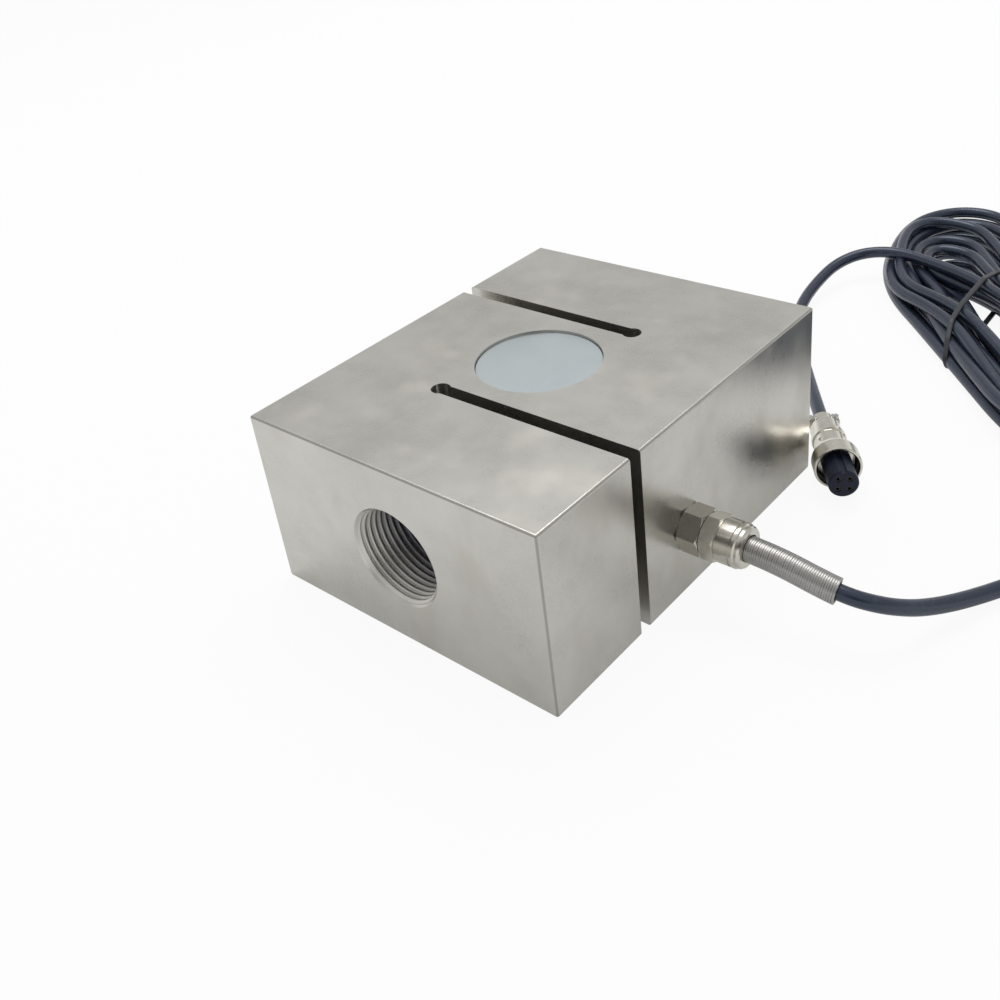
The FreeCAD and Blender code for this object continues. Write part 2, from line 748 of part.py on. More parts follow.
for number, way in enumerate(("-", ""), start=1):
    head_room.append(cylinder(
        f"head_room_{number}", "$screw_head_radius + 0.05", "$screw_head_thick + 4",
        Placement__Base__x="$clamp_length / 2",
        Placement__Base__y=f"{way}$clamp_screw_offset",
        Placement__Base__z="$strap_gap + $lug_thick",
    ))
plug_strap = cut("plug_cable_strap", strap_blank,
                 fuse("strap_cuts", strap_bore, strap_below, *strap_holes, *head_room))
plug_strap.Placement = PLUG

clamp_screws = []
for number, way in enumerate(("-", ""), start=1):
    places = {
        "Placement__Base__x": "$clamp_length / 2",
        "Placement__Base__y": f"{way}$clamp_screw_offset",
    }
    stem = cylinder(
        f"clamp_stem_{number}", "$clamp_screw_radius", "$clamp_screw_depth + $strap_gap + $lug_thick",
        Placement__Base__z="-$clamp_screw_depth", **places)
    head = cylinder(
        f"clamp_head_{number}", "$screw_head_radius", "$screw_head_thick",
        Placement__Base__z="$strap_gap + $lug_thick", **places)
    slot_cut = box(
        f"clamp_slot_{number}", "$screw_head_radius * 2", "0.4 mm", "$screw_head_thick",
        Placement__Base__x="$clamp_length / 2 - $screw_head_radius",
        Placement__Base__y=f"{way}$clamp_screw_offset - 0.2",
        Placement__Base__z="$strap_gap + $lug_thick + $screw_head_thick / 2",
    )
    clamp_screws.append(cut(f"clamp_screw_{number}", fuse(f"clamp_blank_{number}", stem, head), slot_cut))
plug_clamp_screws = group("plug_clamp_screws", *clamp_screws)
plug_clamp_screws.Placement = PLUG

set_screw_blank = cylinder(
    "set_screw_blank", "$set_screw_radius", "$barrel_radius - $insert_root_radius - 0.15")
set_screw_slot = box(
    "set_screw_slot", "$set_screw_radius * 3", "0.4 mm", "$barrel_radius",
    Placement__Base__x="-$set_screw_radius * 1.5",
    Placement__Base__y="-0.2",
    Placement__Base__z="($barrel_radius - $insert_root_radius) / 2",
)
set_screw = cut("plug_set_screw", set_screw_blank, set_screw_slot)
set_screw.Placement = PLUG * set_screw_hole.Placement

# insulator with four contact bores and a key groove
INSERT_FRONT = "$nut_front + $insert_reach"
insert_turned = turned("insert_turned", (
    ("$insert_start", None),
    ("$insert_start", "$insert_root_radius"),
    (SHELL_FRONT, "$insert_root_radius"),
    (SHELL_FRONT, "$insert_radius"),
    (f"{INSERT_FRONT} - 0.4", "$insert_radius"),
    (INSERT_FRONT, "$insert_radius - 0.4"),
    (INSERT_FRONT, None),
))
CONTACTS = 4
contact_holes = []
contact_tubes = []
core_ends = []
for number in range(CONTACTS):
    angle = f"({number} * 360 / {CONTACTS} + 45)"
    place = {
        "Placement__Base__y": f"$contact_circle * cos({angle})",
        "Placement__Base__z": f"$contact_circle * sin({angle})",
    }
    hole = cylinder(f"contact_hole_{number + 1}", "$contact_radius", f"{INSERT_FRONT} + 1")
    barrel = cylinder(f"contact_barrel_{number + 1}", "$contact_radius",
                      f"{INSERT_FRONT} - $contact_sink - $contact_start")
    bore_cut = cylinder(f"contact_bore_{number + 1}", "$contact_bore", f"{INSERT_FRONT} + 1")
    core = cylinder(f"plug_core_{number + 1}", "$contact_bore", "$contact_start - $cable_stop + 1.5")
    for piece in (hole, barrel, bore_cut, core):
        piece.Placement.Rotation = FreeCAD.Rotation(V(0, 1, 0), 90)
        bind(piece, **place)
    bind(barrel, Placement__Base__x="$contact_start")
    bind(core, Placement__Base__x="$cable_stop")
    contact_holes.append(hole)
    contact_tubes.append(cut(f"contact_{number + 1}", barrel, bore_cut))
    core_ends.append(core)
key_groove = box(
    "key_groove", "$nut_front + $insert_reach", "$key_breadth", "$insert_radius",
    Placement__Base__y="-$key_breadth / 2",
    Placement__Base__z="$insert_radius - $key_depth",
)
bind(key_groove, Placement__Base__x=SHELL_FRONT)
plug_insert = cut("plug_insert", insert_turned, fuse("insert_cuts", key_groove, *contact_holes))
plug_insert.Placement = PLUG
plug_contacts = group("plug_contacts", *contact_tubes)
plug_contacts.Placement = PLUG
plug_cores = group("plug_core_wires", *core_ends)
plug_cores.Placement = PLUG

coupling_nut = turned("plug_coupling_nut", (
    ("$nut_back", "$barrel_radius + $nut_play"),
    ("$nut_back", "$nut_back_radius"),
    ("($nut_back * 3 + $nut_shoulder) / 4", "($nut_back_radius + $nut_radius) / 2"),
    ("($nut_back + $nut_shoulder) / 2", "($nut_back_radius + $nut_radius * 3) / 4"),
    ("$nut_shoulder", "$nut_radius"),
    ("$nut_front - 0.3", "$nut_radius"),
    ("$nut_front", "$nut_radius - 0.3"),
    ("$nut_front", "$nut_bore + 0.4"),
    ("$nut_front - 0.4", "$nut_bore"),
    (f"{FLANGE_START} - $nut_end_play", "$nut_bore"),
    (f"{FLANGE_START} - $nut_end_play", "$barrel_radius + $nut_play"),
))
coupling_nut.Placement = PLUG

# the tail: from the hank's upper layer, round behind the block and into the plug
TAIL_ROUTE = [V(*point) for point in (
    (32.0, 207.5, 11.6),
    (17.0, 211.5, 11.6),
    (4.5, 208.0, 10.8),
    (-2.5, 197.0, 8.8),
    (-3.5, 182.0, 6.4),
    (-1.8, 166.0, 4.5),
    (3.5, 150.5, 3.2),
    (12.5, 135.5, 2.8),
    (23.0, 120.5, 3.4),
    (33.3, 105.5, 4.8),
)]
TAIL_ROUTE.append(PLUG.multVec(V(-8.0, 0, 0)))
TAIL_ROUTE.append(PLUG.multVec(V(size("cable_stop"), 0, 0)))
tail_radii = bend_radii(TAIL_ROUTE)
tail_path = rounded_path(TAIL_ROUTE, tail_radii)
cable_tail = feature("cable_tail", tube(tail_path, size("cable_radius")))
doc.recompute()

# ------------------------------------------------- potting round what it covers
top_fill = cylinder(
    "top_fill", "$cavity_radius", "($block_thick - $web_thick) / 2 - $cover_sink - $cover_thick",
    Placement__Base__z=WEB_TOP,
)
bottom_fill = cylinder(
    "bottom_fill", "$cavity_radius", "($block_thick - $web_thick) / 2 - $cover_sink - $cover_thick",
    Placement__Base__z="$cover_sink + $cover_thick",
)
doc.recompute()
top_potting = feature("top_potting", top_fill.Shape.cut([gauge_nodes["top"].Shape, gauge_leads.Shape]))
bottom_potting = feature("bottom_potting", bottom_fill.Shape.cut([
    gauge_nodes["bottom"].Shape, gauge_leads.Shape, board.Shape, resistors.Shape, core_wires.Shape,
]))
doc.recompute()

# --------------------------------------------------------------------- output
NODES = (
    s_body, top_cover, bottom_cover, top_potting, bottom_potting,
    gauge_nodes["top"], gauge_nodes["bottom"], board, resistors, gauge_leads, core_wires,
    gland_body, gland_seal, gland_nut, grommet, strain_spring,
    signal_cable, cable_hank, hank_tie, cable_tail,
    plug_shell, plug_strap, plug_clamp_screws, set_screw, plug_insert, plug_contacts, plug_cores,
    coupling_nut,
)
for item in doc.Objects:
    assert "Invalid" not in item.State and "Error" not in item.State, (item.Label, item.State)
os.makedirs("parts", exist_ok=True)
for node in NODES:
    shape = node.Shape
    assert not shape.isNull() and shape.isValid() and shape.Volume > 0, node.Label
    shape.exportStep(f"parts/{node.Label}.step")
    box_now = shape.BoundBox
    print(f"{node.Label:22s} {len(shape.Solids)} solids {shape.Volume:12.1f} mm3 "
          f"z {box_now.ZMin:7.2f} to {box_now.ZMax:7.2f}")

for label, path, radii, node in (
    ("lead", lead_path, lead_radii, signal_cable),
    ("tail", tail_path, tail_radii, cable_tail),
):
    section = math.pi * size("cable_radius") ** 2
    print(label, "radii", [round(r, 1) for r in radii], "length", round(path.Length, 1),
          "volume ratio", round(node.Shape.Volume / (section * path.Length), 4))
print("plug axis", plug_axis, "nut at", PLUG.multVec(V(size("nut_front"), 0, 0)))
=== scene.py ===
import math

import bpy
import numpy as np
from mathutils import Euler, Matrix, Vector


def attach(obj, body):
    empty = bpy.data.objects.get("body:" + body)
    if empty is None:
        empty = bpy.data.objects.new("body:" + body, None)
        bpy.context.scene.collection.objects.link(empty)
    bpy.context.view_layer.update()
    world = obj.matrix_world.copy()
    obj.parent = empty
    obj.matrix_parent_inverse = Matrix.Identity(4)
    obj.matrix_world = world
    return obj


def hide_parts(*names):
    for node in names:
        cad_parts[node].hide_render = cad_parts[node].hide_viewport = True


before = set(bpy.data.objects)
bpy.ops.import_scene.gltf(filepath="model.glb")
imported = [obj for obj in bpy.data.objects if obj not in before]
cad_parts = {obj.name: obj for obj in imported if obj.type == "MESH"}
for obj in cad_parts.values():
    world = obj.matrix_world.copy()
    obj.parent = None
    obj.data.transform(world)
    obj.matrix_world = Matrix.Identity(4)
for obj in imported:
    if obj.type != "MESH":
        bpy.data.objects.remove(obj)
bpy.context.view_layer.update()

bl_info = {
    "name": "S type load cell",
    "version": (1, 0, 0),
    "blender": (4, 5, 0),
    "location": "3D View > Sidebar > Load Cell",
    "description": "Dresses the load cell, its cable and its plug, and sets the stage for it",
    "category": "Object",
}

MM = 0.001

# ---------------------------------------------------------------- places, mm
HALF_WIDTH = 53.0  # the block's sides, either side of the middle
BORE_HEIGHT = 29.0  # the load axis, above the foot, and half the block's thickness
BORE_FACE = 66.5  # the threaded ends, either side of the middle
BORE_END = 29.3  # where the bores meet the slots
MOUTH_DEPTH = 0.62  # how far in the chamfer at a bore's mouth ends
MOUTH_RADIUS = 15.6  # the chamfer's radius at the face
GLAND_LEVEL = 21.5
GLAND_SIDE = -4.5
SLEEVE_START = 68.4
PLUG_REAR = np.array([48.1, 84.63, 6.6])
PLUG_TURN, PLUG_TILT = math.radians(-53.7), math.radians(2.1)
PLUG_AXIS = np.array([
    math.cos(PLUG_TILT) * math.cos(PLUG_TURN),
    math.cos(PLUG_TILT) * math.sin(PLUG_TURN),
    math.sin(PLUG_TILT),
])
NUT_BORE = 6.42  # the radius at which the coupling nut's bore ends
NUT_PITCH = 0.8
TIE_ENDS = ((61.3, 205.0), (64.0, 147.0))  # the tie's plane, seen from above
TIE_LEAN = -0.30  # how far that plane leans, for each mm of height
TIE_TAKES = (-12.0, 70.0)  # the stretch of the plane whose strands it holds
TIE_FOOT = 20.0  # how far either side of the tie it lifts what lies on it

# The cable's own line: out of the gland, down to the floor and along it,
LEAD = (
    (46, -4.5, 21.5), (66, -4.5, 21.5), (80, -4.5, 21.2), (94.6, -4.15, 18.2),
    (100.8, -3.2, 16.9), (105.3, -0.6, 15.2), (109.2, 4, 12.4), (113.2, 11.3, 8.7),
    (118, 21.3, 5.5), (123.4, 33, 3.3), (130, 46, 2.5), (138.4, 60, 2.6),
    (145.8, 75, 3.1), (150.6, 89, 4.0),
)
# round the hank, whose widest and narrowest turns these are,
WIDEST_TURN = (
    (141, 97.5), (152.5, 106), (153, 124), (142, 146), (124, 168), (105, 191),
    (88, 214), (73, 235), (59, 254), (46.5, 267.5), (33, 276), (19.5, 274),
    (9.8, 263), (7.8, 248), (10, 233), (14.5, 217), (20.5, 201.5), (30, 186),
    (45.5, 170.5), (63, 152.3), (80.5, 134.8), (97.5, 118), (119, 101),
)
NARROWEST_TURN = (
    (121, 114), (132, 119), (133, 131), (122, 146), (108, 162), (96, 176),
    (84, 189), (72, 201), (60, 211), (50, 219), (41, 226), (32, 228.5),
    (24.5, 225.5), (22, 217), (26, 209.5), (34, 205), (43, 201.5), (51, 197),
    (60, 190), (69, 181), (81, 166), (95, 148), (108, 130),
)
# over the top of it,
CROSSING = (
    (138, 103, 9.5), (146, 110, 11.9), (145, 124, 12.0), (132, 140, 12.0),
    (114, 156, 12.0), (97, 169, 12.0), (81, 180, 12.0), (66, 191, 12.0),
    (52, 199.5, 12.0), (37, 206, 11.9),
)
# and in a last loop to the plug.
TAIL = (
    (18, 212.3, 11.7), (4.5, 208, 10.8), (-2.5, 197, 8.8), (-3.5, 182, 6.4),
    (-1.8, 166, 4.5), (3.5, 150.5, 3.2), (12.5, 135.5, 2.8), (23, 120.5, 3.4),
    (33.3, 105.5, 4.8),
    tuple(PLUG_REAR - 8.0 * PLUG_AXIS), tuple(PLUG_REAR + 10.8 * PLUG_AXIS),
)

# Each turn of the hank at seven places on its way round: how far it lies from
# the widest turn (0) towards the narrowest (1), how high above the floor, and
# how firmly it is held there.
LOW, MIDDLE, HIGH = 2.4, 7.0, 11.4
SPOTS = (1.0, 7.5, 10.5, 13.5, 16.5, 19.0, 21.0)
TURNS = (
    ((0.02, 0.02, 0.02, 0.13, 0.16, 0.08, 0.06), (LOW,) * 7, 0.8),
    ((0.28, 0.29, 0.18, 0.30, 0.36, 0.26, 0.24), (LOW,) * 7, 0.4),
    ((0.52, 0.46, 0.37, 0.48, 0.55, 0.44, 0.42), (LOW,) * 7, 0.4),
    ((0.76, 0.72, 0.57, 0.67, 0.74, 0.62, 0.60), (LOW,) * 7, 0.5),
    ((1.00, 0.95, 0.77, 0.86, 0.92, 0.56, 0.54), (LOW,) * 5 + (MIDDLE,) * 2, 0.6),
    ((0.88, 1.14, 0.87, 0.92, 1.12, 1.28, 1.20), (MIDDLE,) + (LOW,) * 6, 0.6),
    ((0.64, 1.02, 0.72, 0.66, 0.66, 0.34, 0.34), (MIDDLE,) * 7, 0.6),
    ((0.50, 0.27, 0.24, 0.40, 0.38, 0.12, -0.01), (HIGH,) + (MIDDLE,) * 4 + (6.8, 6.6), 0.8),
    ((0.90, 1.14, 0.97, 0.70, 1.05, 1.24, 1.05), (HIGH, 10.5, 9.4, 8.6, 7.4, 7.0, 7.4), 1.2),
    ((0.40, 0.70, 0.43, 0.20, 0.14, 0.47, 0.58), (MIDDLE, 7.2, 7.5, 8.2, 8.0, 11.8, 9.0), 1.8),
    ((0.14, 0.03, 0.00, 0.00, -0.02, 0.25, 0.20), (MIDDLE, 6.6, 6.6, 5.8, 5.2, 10.0, 7.2), 1.8),
)
LAST_TURN = ((-0.05,), (7.0,))
FIXED, LAID = 50.0, 2.0  # how firmly the leads stay, and the crossing

TIGHTEST = 11.0  # the bend below which the cable springs open
OTHER_STRAND = 16.0  # further along the cable than this is another strand
CEILING = 12.2  # the height of the top turn's middle
PUSH = 0.9  # the part of each overlap that one round clears
OPENING = 0.35  # the part of a sharp bend that one round opens
EASING = 0.3  # the part of each shift that is shared with its neighbours
DRAW_BACK = 0.004  # the part of its shift that a firm point gives up

# --------------------------------------------------------------------- camera
CAMERA_PLACE = (0.195514, -0.217203, 0.214791)
CAMERA_TURN = (59.6212, 6.6006, 40.7625)  # degrees about x, y and z
CAMERA_LENS = 40.6876
CAMERA_SHIFT = (0.001636, -0.096543)


# ------------------------------------------------------------------- settings
class LoadCellBlock(bpy.types.PropertyGroup):
    nickel: bpy.props.FloatVectorProperty(
        name="Nickel", description="Colour of the plated block",
        subtype="COLOR", size=3, min=0, max=1, default=(0.605, 0.593, 0.553),
    )
    thread_pitch: bpy.props.FloatProperty(
        name="Thread pitch", description="Pitch of the thread in both bores",
        unit="LENGTH", min=0.5 * MM, default=2 * MM,
    )
    thread_radius: bpy.props.FloatProperty(
        name="Thread radius", description="Root radius of the thread in both bores",
        unit="LENGTH", min=1 * MM, default=14.98 * MM,
    )


class LoadCellCable(bpy.types.PropertyGroup):
    jacket: bpy.props.FloatVectorProperty(
        name="Jacket", description="Colour of the cable's jacket",
        subtype="COLOR", size=3, min=0, max=1, default=(0.018, 0.024, 0.044),
    )
    diameter: bpy.props.FloatProperty(
        name="Diameter", description="Diameter of the cable",
        unit="LENGTH", min=1 * MM, default=4.6 * MM,
    )
    tie_width: bpy.props.FloatProperty(
        name="Tie width", description="Width of the band that ties the hank",
        unit="LENGTH", min=0.2 * MM, default=2.0 * MM,
    )
    tie_thickness: bpy.props.FloatProperty(
        name="Tie thickness", description="Thickness of the band that ties the hank",
        unit="LENGTH", min=0.2 * MM, default=1.2 * MM,
    )
    spring_wire: bpy.props.FloatProperty(
        name="Spring wire", description="Thickness of the strain relief spring's wire",
        unit="LENGTH", min=0.2 * MM, default=0.62 * MM,
    )
    spring_radius: bpy.props.FloatProperty(
        name="Spring radius", description="Outer radius of the strain relief spring",
        unit="LENGTH", min=1 * MM, default=3.75 * MM,
    )
    spring_length: bpy.props.FloatProperty(
        name="Spring length", description="Length of the strain relief spring along the cable",
        unit="LENGTH", min=1 * MM, default=29.2 * MM,
    )


class LoadCellPlug(bpy.types.PropertyGroup):
    nickel: bpy.props.FloatVectorProperty(
        name="Nickel", description="Colour of the plug's and the gland's bright plating",
        subtype="COLOR", size=3, min=0, max=1, default=(0.72, 0.69, 0.62),
    )
    insert: bpy.props.FloatVectorProperty(
        name="Insert", description="Colour of the moulded contact insert",
        subtype="COLOR", size=3, min=0, max=1, default=(0.010, 0.015, 0.032),
    )


class LoadCellStage(bpy.types.PropertyGroup):
    floor: bpy.props.FloatVectorProperty(
        name="Floor", description="Colour of the floor",
        subtype="COLOR", size=3, min=0, max=1, default=(0.93, 0.93, 0.93),
    )
    room: bpy.props.FloatProperty(
        name="Room light", description="Strength of the soft light from all round",
        min=0, default=0.55,
    )
    overhead: bpy.props.FloatProperty(
        name="Overhead lamp", description="Power of the wide lamp above",
        subtype="POWER", min=0, default=8,
    )


# ------------------------------------------------------------------- finishes
class Wire:
    """A shader socket on which Python's own arithmetic works."""

    def __init__(self, finish, socket):
        self.finish = finish
        self.socket = socket

    def _math(self, operation, *values):
        return self.finish.node(
            "ShaderNodeMath", {"operation": operation}, dict(enumerate(values))
        )

    def __add__(self, other):
        return self._math("ADD", self, other)

    def __sub__(self, other):
        return self._math("SUBTRACT", self, other)

    def __rsub__(self, other):
        return self._math("SUBTRACT", other, self)

    def __mul__(self, other):
        return self._math("MULTIPLY", self, other)

    def __abs__(self):
        return self._math("ABSOLUTE", self)

    __radd__ = __add__
    __rmul__ = __mul__

    def most(self, other):
        return self._math("MAXIMUM", self, other)

    def sine(self):
        return self._math("SINE", self)

    def rise(self, low, high):
        """0 below low, 1 above high and smooth between them."""
        return self.finish.node(
            "ShaderNodeMapRange",
            {"interpolation_type": "SMOOTHSTEP"},
            {"Value": self, "From Min": low, "From Max": high},
        )


class Finish:
    """The nodes of one material or of the world, added as they are written."""

    def __init__(self, owner):
        owner.use_nodes = True
        self.owner = owner
        self.tree = owner.node_tree
        self.tree.nodes.clear()

    def node(self, kind, settings=None, sockets=None, out=0):
        made = self.tree.nodes.new(kind)
        for key, value in (settings or {}).items():
            setattr(made, key, value)
        for key, value in (sockets or {}).items():
            if isinstance(value, Wire):
                self.tree.links.new(value.socket, made.inputs[key])
            else:
                made.inputs[key].default_value = value
        return Wire(self, made.outputs[out]) if made.outputs else None

    def place(self):
        return self.node("ShaderNodeTexCoord", out="Object")

    def parts(self, vector):
        split = self.node("ShaderNodeSeparateXYZ", sockets={0: vector})
        outputs = split.socket.node.outputs
        return tuple(Wire(self, outputs[i]) for i in range(3))

    def vector(self, operation, *values, out=0):
        return self.node(
            "ShaderNodeVectorMath", {"operation": operation}, dict(enumerate(values)), out
        )

    def stretch(self, vector, x, y, z):
        return self.vector("MULTIPLY", vector, (x, y, z))

    def noise(self, where, size, detail=2.0, rough=0.5):
        """Soft noise from 0 to 1 whose patches are about size metres wide."""
        return self.node(
            "ShaderNodeTexNoise",
            {"noise_dimensions": "3D"},
            {"Vector": where, "Scale": 1 / size, "Detail": detail, "Roughness": rough},
        )

    def cells(self, where, size):
        """Distance to the middle of the nearest of many cells, size metres wide."""
        return self.node(
            "ShaderNodeTexVoronoi", {}, {"Vector": where, "Scale": 1 / size}, out="Distance"
        )

    def colour(self, factor, first, second):
        """From the first colour at 0 to the second at 1."""
        ends = [
            value if isinstance(value, Wire) else (*value, 1.0)
            for value in (first, second)
        ]
        return self.node(
            "ShaderNodeMix",
            {"data_type": "RGBA"},
            {0: factor, 6: ends[0], 7: ends[1]},
            out=2,
        )

    def bump(self, height, depth, strength):
        sockets = {"Height": height, "Distance": depth, "Strength": strength}
        return self.node("ShaderNodeBump", {}, sockets)

    def surface(self, **sockets):
        """The principled shader, with its sockets named in words joined by _."""
        named = {}
        for key, value in sockets.items():
            name = key.replace("_", " ").title().replace("Ior", "IOR")
            if name in ("Base Color", "Emission Color") and not isinstance(value, Wire):
                value = (*value, 1.0)
            named[name] = value
        shader = self.node("ShaderNodeBsdfPrincipled", {}, named)
        self.node("ShaderNodeOutputMaterial", {}, {"Surface": shader})
        return self.owner


def finish(name):
    return Finish(bpy.data.materials.new(name))


def shade(colour, amount):
    return tuple(c * amount for c in colour)


def near_edge(across, half):
    """0 over a face and 1 on the rounded edge of a block half this many mm wide."""
    return abs(across).rise((half - 0.7) * MM, (half - 0.4) * MM)


def satin_nickel(colour):
    """Satin nickel plate over milled steel: faint blotches, and duller, rougher edges whose colour
    is darkened as painted shade.
    """
    f = finish("satin_nickel_plate")
    place = f.place()
    cloud = f.noise(place, 26 * MM, 3.0)
    spot = f.noise(place, 7 * MM, 4.0, 0.6)
    stain = f.noise(f.stretch(place, 1.0, 1.0, 0.7), 17 * MM, 2.5, 0.5).rise(0.50, 0.72)
    grain = f.noise(f.stretch(place, 1.0, 1.0, 9.0), 0.9 * MM, 3.0, 0.7)
    fleck = f.cells(place, 1.5 * MM).rise(0.11, 0.05)
    tone = 0.62 * cloud + 0.38 * spot
    x, y, z = f.parts(place)
    end_x = near_edge(x, HALF_WIDTH)
    end_y = near_edge(y, BORE_FACE)
    end_z = near_edge(z - BORE_HEIGHT * MM, BORE_HEIGHT)
    edge = (end_x * end_y).most(end_y * end_z).most(end_x * end_z)
    base = f.colour(tone.rise(0.25, 0.75), shade(colour, 0.91), shade(colour, 1.06))
    base = f.colour(0.30 * stain, base, (0.49, 0.46, 0.40))
    # painted shade: the rounded edges are painted at half the nickel's colour, to hold back the
    # lamp's highlight on them
    base = f.colour(0.65 * edge, base, shade(colour, 0.50))
    base = f.colour(0.05 * fleck, base, (0.85, 0.85, 0.84))
    height = 0.6 * grain + 0.4 * spot
    return f.surface(
        base_color=base,
        metallic=1.0,
        roughness=0.21 + 0.10 * tone + 0.08 * stain + 0.04 * grain + 0.25 * edge,
        normal=f.bump(height, 0.012 * MM, 0.5),
    )


def machined_thread(colour):
    """The cut flanks of a thread: turning lines, and painted shade that darkens them further in."""
    f = finish("cut_thread_nickel")
    place = f.place()
    _, y, _ = f.parts(place)
    lines = (y * (2 * math.pi / (0.16 * MM)) + 9.0 * f.noise(place, 3 * MM)).sine()
    tone = f.noise(place, 5 * MM, 3.0)
    # painted shade: the flanks turn dark and bluish from 3 mm to 19 mm in from the bore's face
    painted_depth_shade = (BORE_FACE * MM - abs(y)).rise(3 * MM, 19 * MM)
    base = f.colour(tone, shade(colour, 1.0), shade(colour, 1.25))
    return f.surface(
        base_color=f.colour(0.90 * painted_depth_shade, base, (0.085, 0.085, 0.12)),
        metallic=0.9,
        roughness=0.40 + 0.12 * tone,
        normal=f.bump(lines, 0.004 * MM, 0.4),
    )


def cover_steel():
    """Bluish satin steel with fine specks of light."""
    f = finish("cover_satin_steel")
    place = f.place()
    cloud = f.noise(place, 15 * MM, 3.0)
    speck = f.cells(place, 0.75 * MM).rise(0.16, 0.06)
    grain = f.noise(place, 0.35 * MM, 2.0, 0.7)
    base = f.colour(cloud, (0.415, 0.458, 0.475), (0.47, 0.515, 0.53))
    base = f.colour(0.55 * speck * grain, base, (0.92, 0.93, 0.93))
    return f.surface(
        base_color=base,
        metallic=1.0,
        roughness=0.36 + 0.08 * cloud + 0.10 * grain,
        normal=f.bump(grain, 0.012 * MM, 0.6),
    )


def bright_nickel(colour, name="bright_nickel"):
    """Bright nickel over turned brass, with fine turning marks and light wear."""
    f = finish(name)
    place = f.place()
    cloud = f.noise(place, 4 * MM, 4.0, 0.6)
    rub = f.noise(place, 1.1 * MM, 5.0, 0.65).rise(0.52, 0.74)
    mark = f.noise(f.stretch(place, 6.0, 1.0, 1.0), 0.9 * MM, 3.0, 0.7)
    base = f.colour(cloud, shade(colour, 0.90), shade(colour, 1.06))
    base = f.colour(0.25 * rub, base, (0.58, 0.50, 0.39))
    return f.surface(
        base_color=base,
        metallic=1.0,
        roughness=0.14 + 0.10 * cloud + 0.12 * rub,
        normal=f.bump(0.5 * mark + 0.5 * cloud, 0.006 * MM, 0.5),
    )


def nut_nickel(colour):
    """The coupling nut: bright outside, with a dull thread in its bore, darkened by painted shade.
    """
    f = finish("coupling_nut_nickel")
    place = f.place()
    from_rear = f.vector("SUBTRACT", place, tuple(PLUG_REAR * MM))
    apart = f.vector("LENGTH", f.vector("CROSS_PRODUCT", from_rear, tuple(PLUG_AXIS)), out="Value")
    ahead = f.vector("DOT_PRODUCT", from_rear, tuple(PLUG_AXIS), out="Value")
    bore = 1.0 - apart.rise(NUT_BORE * MM, (NUT_BORE + 0.2) * MM)
    cloud = f.noise(place, 4 * MM, 4.0, 0.6)
    rub = f.noise(place, 1.1 * MM, 5.0, 0.65).rise(0.52, 0.74)
    turns = (ahead * (2 * math.pi / (NUT_PITCH * MM))).sine()
    outside = f.colour(cloud, shade(colour, 0.88), shade(colour, 1.05))
    outside = f.colour(0.25 * rub, outside, (0.58, 0.50, 0.39))
    return f.surface(
        # painted shade: the bore's thread is painted nearly black, for the shade deep inside the nut
        base_color=f.colour(bore, outside, (0.055, 0.060, 0.075)),
        metallic=1.0,
        roughness=0.16 + 0.12 * cloud + 0.10 * rub + 0.12 * bore,
        normal=f.bump(bore * turns, 0.12 * MM, 0.8),
    )


def jacket(colour):
    """Smooth cable jacket, with dusty places and a slight orange-peel."""
    f = finish("cable_jacket")
    place = f.place()
    cloud = f.noise(place, 22 * MM, 3.0)
    dust = f.noise(place, 2.2 * MM, 5.0, 0.62).rise(0.50, 0.75)
    peel = f.noise(place, 0.8 * MM, 2.0)
    base = f.colour(cloud, shade(colour, 0.85), shade(colour, 1.2))
    base = f.colour(0.12 * dust, base, (0.12, 0.15, 0.22))
    return f.surface(
        base_color=base,
        roughness=0.24 + 0.07 * cloud + 0.14 * dust,
        specular_ior_level=0.70,
        specular_tint=(0.76, 0.86, 1.0, 1.0),
        normal=f.bump(peel, 0.03 * MM, 0.5),
    )


def moulded(name, colour, roughness, patch=3 * MM, grain=0.25 * MM, depth=0.02 * MM, gloss=0.5):
    """A moulded plastic or rubber with a fine grain and uneven sheen."""
    f = finish(name)
    place = f.place()
    cloud = f.noise(place, patch, 3.0)
    fine = f.noise(place, grain, 3.0, 0.6)
    return f.surface(
        base_color=f.colour(cloud, shade(colour, 0.82), shade(colour, 1.2)),
        roughness=roughness + 0.12 * cloud,
        specular_ior_level=gloss,
        normal=f.bump(fine, depth, 0.6),
    )


def spring_steel():
    """Drawn stainless wire, dulled by handling."""
    f = finish("drawn_spring_wire")
    place = f.place()
    cloud = f.noise(place, 6 * MM, 3.0)
    draw = f.noise(place, 0.5 * MM, 4.0, 0.65)
    return f.surface(
        base_color=f.colour(cloud, (0.34, 0.33, 0.315), (0.41, 0.40, 0.385)),
        metallic=1.0,
        roughness=0.30 + 0.10 * draw,
        normal=f.bump(draw, 0.01 * MM, 0.5),
    )


def gauge_foil():
    """Etched foil grids on an amber backing."""
    f = finish("gauge_foil")
    place = f.place()
    x, _, _ = f.parts(place)
    grid = (x * (2 * math.pi / (0.5 * MM))).sine().rise(-0.2, 0.2)
    edge = f.noise(place, 2 * MM, 3.0)
    amber = f.colour(edge, (0.42, 0.19, 0.035), (0.52, 0.26, 0.06))
    foil = f.colour(edge, (0.55, 0.44, 0.33), (0.66, 0.55, 0.42))
    return f.surface(
        base_color=f.colour(grid, amber, foil),
        metallic=0.8 * grid,
        roughness=0.42 - 0.12 * grid,
        normal=f.bump(grid, 0.01 * MM, 0.5),
    )


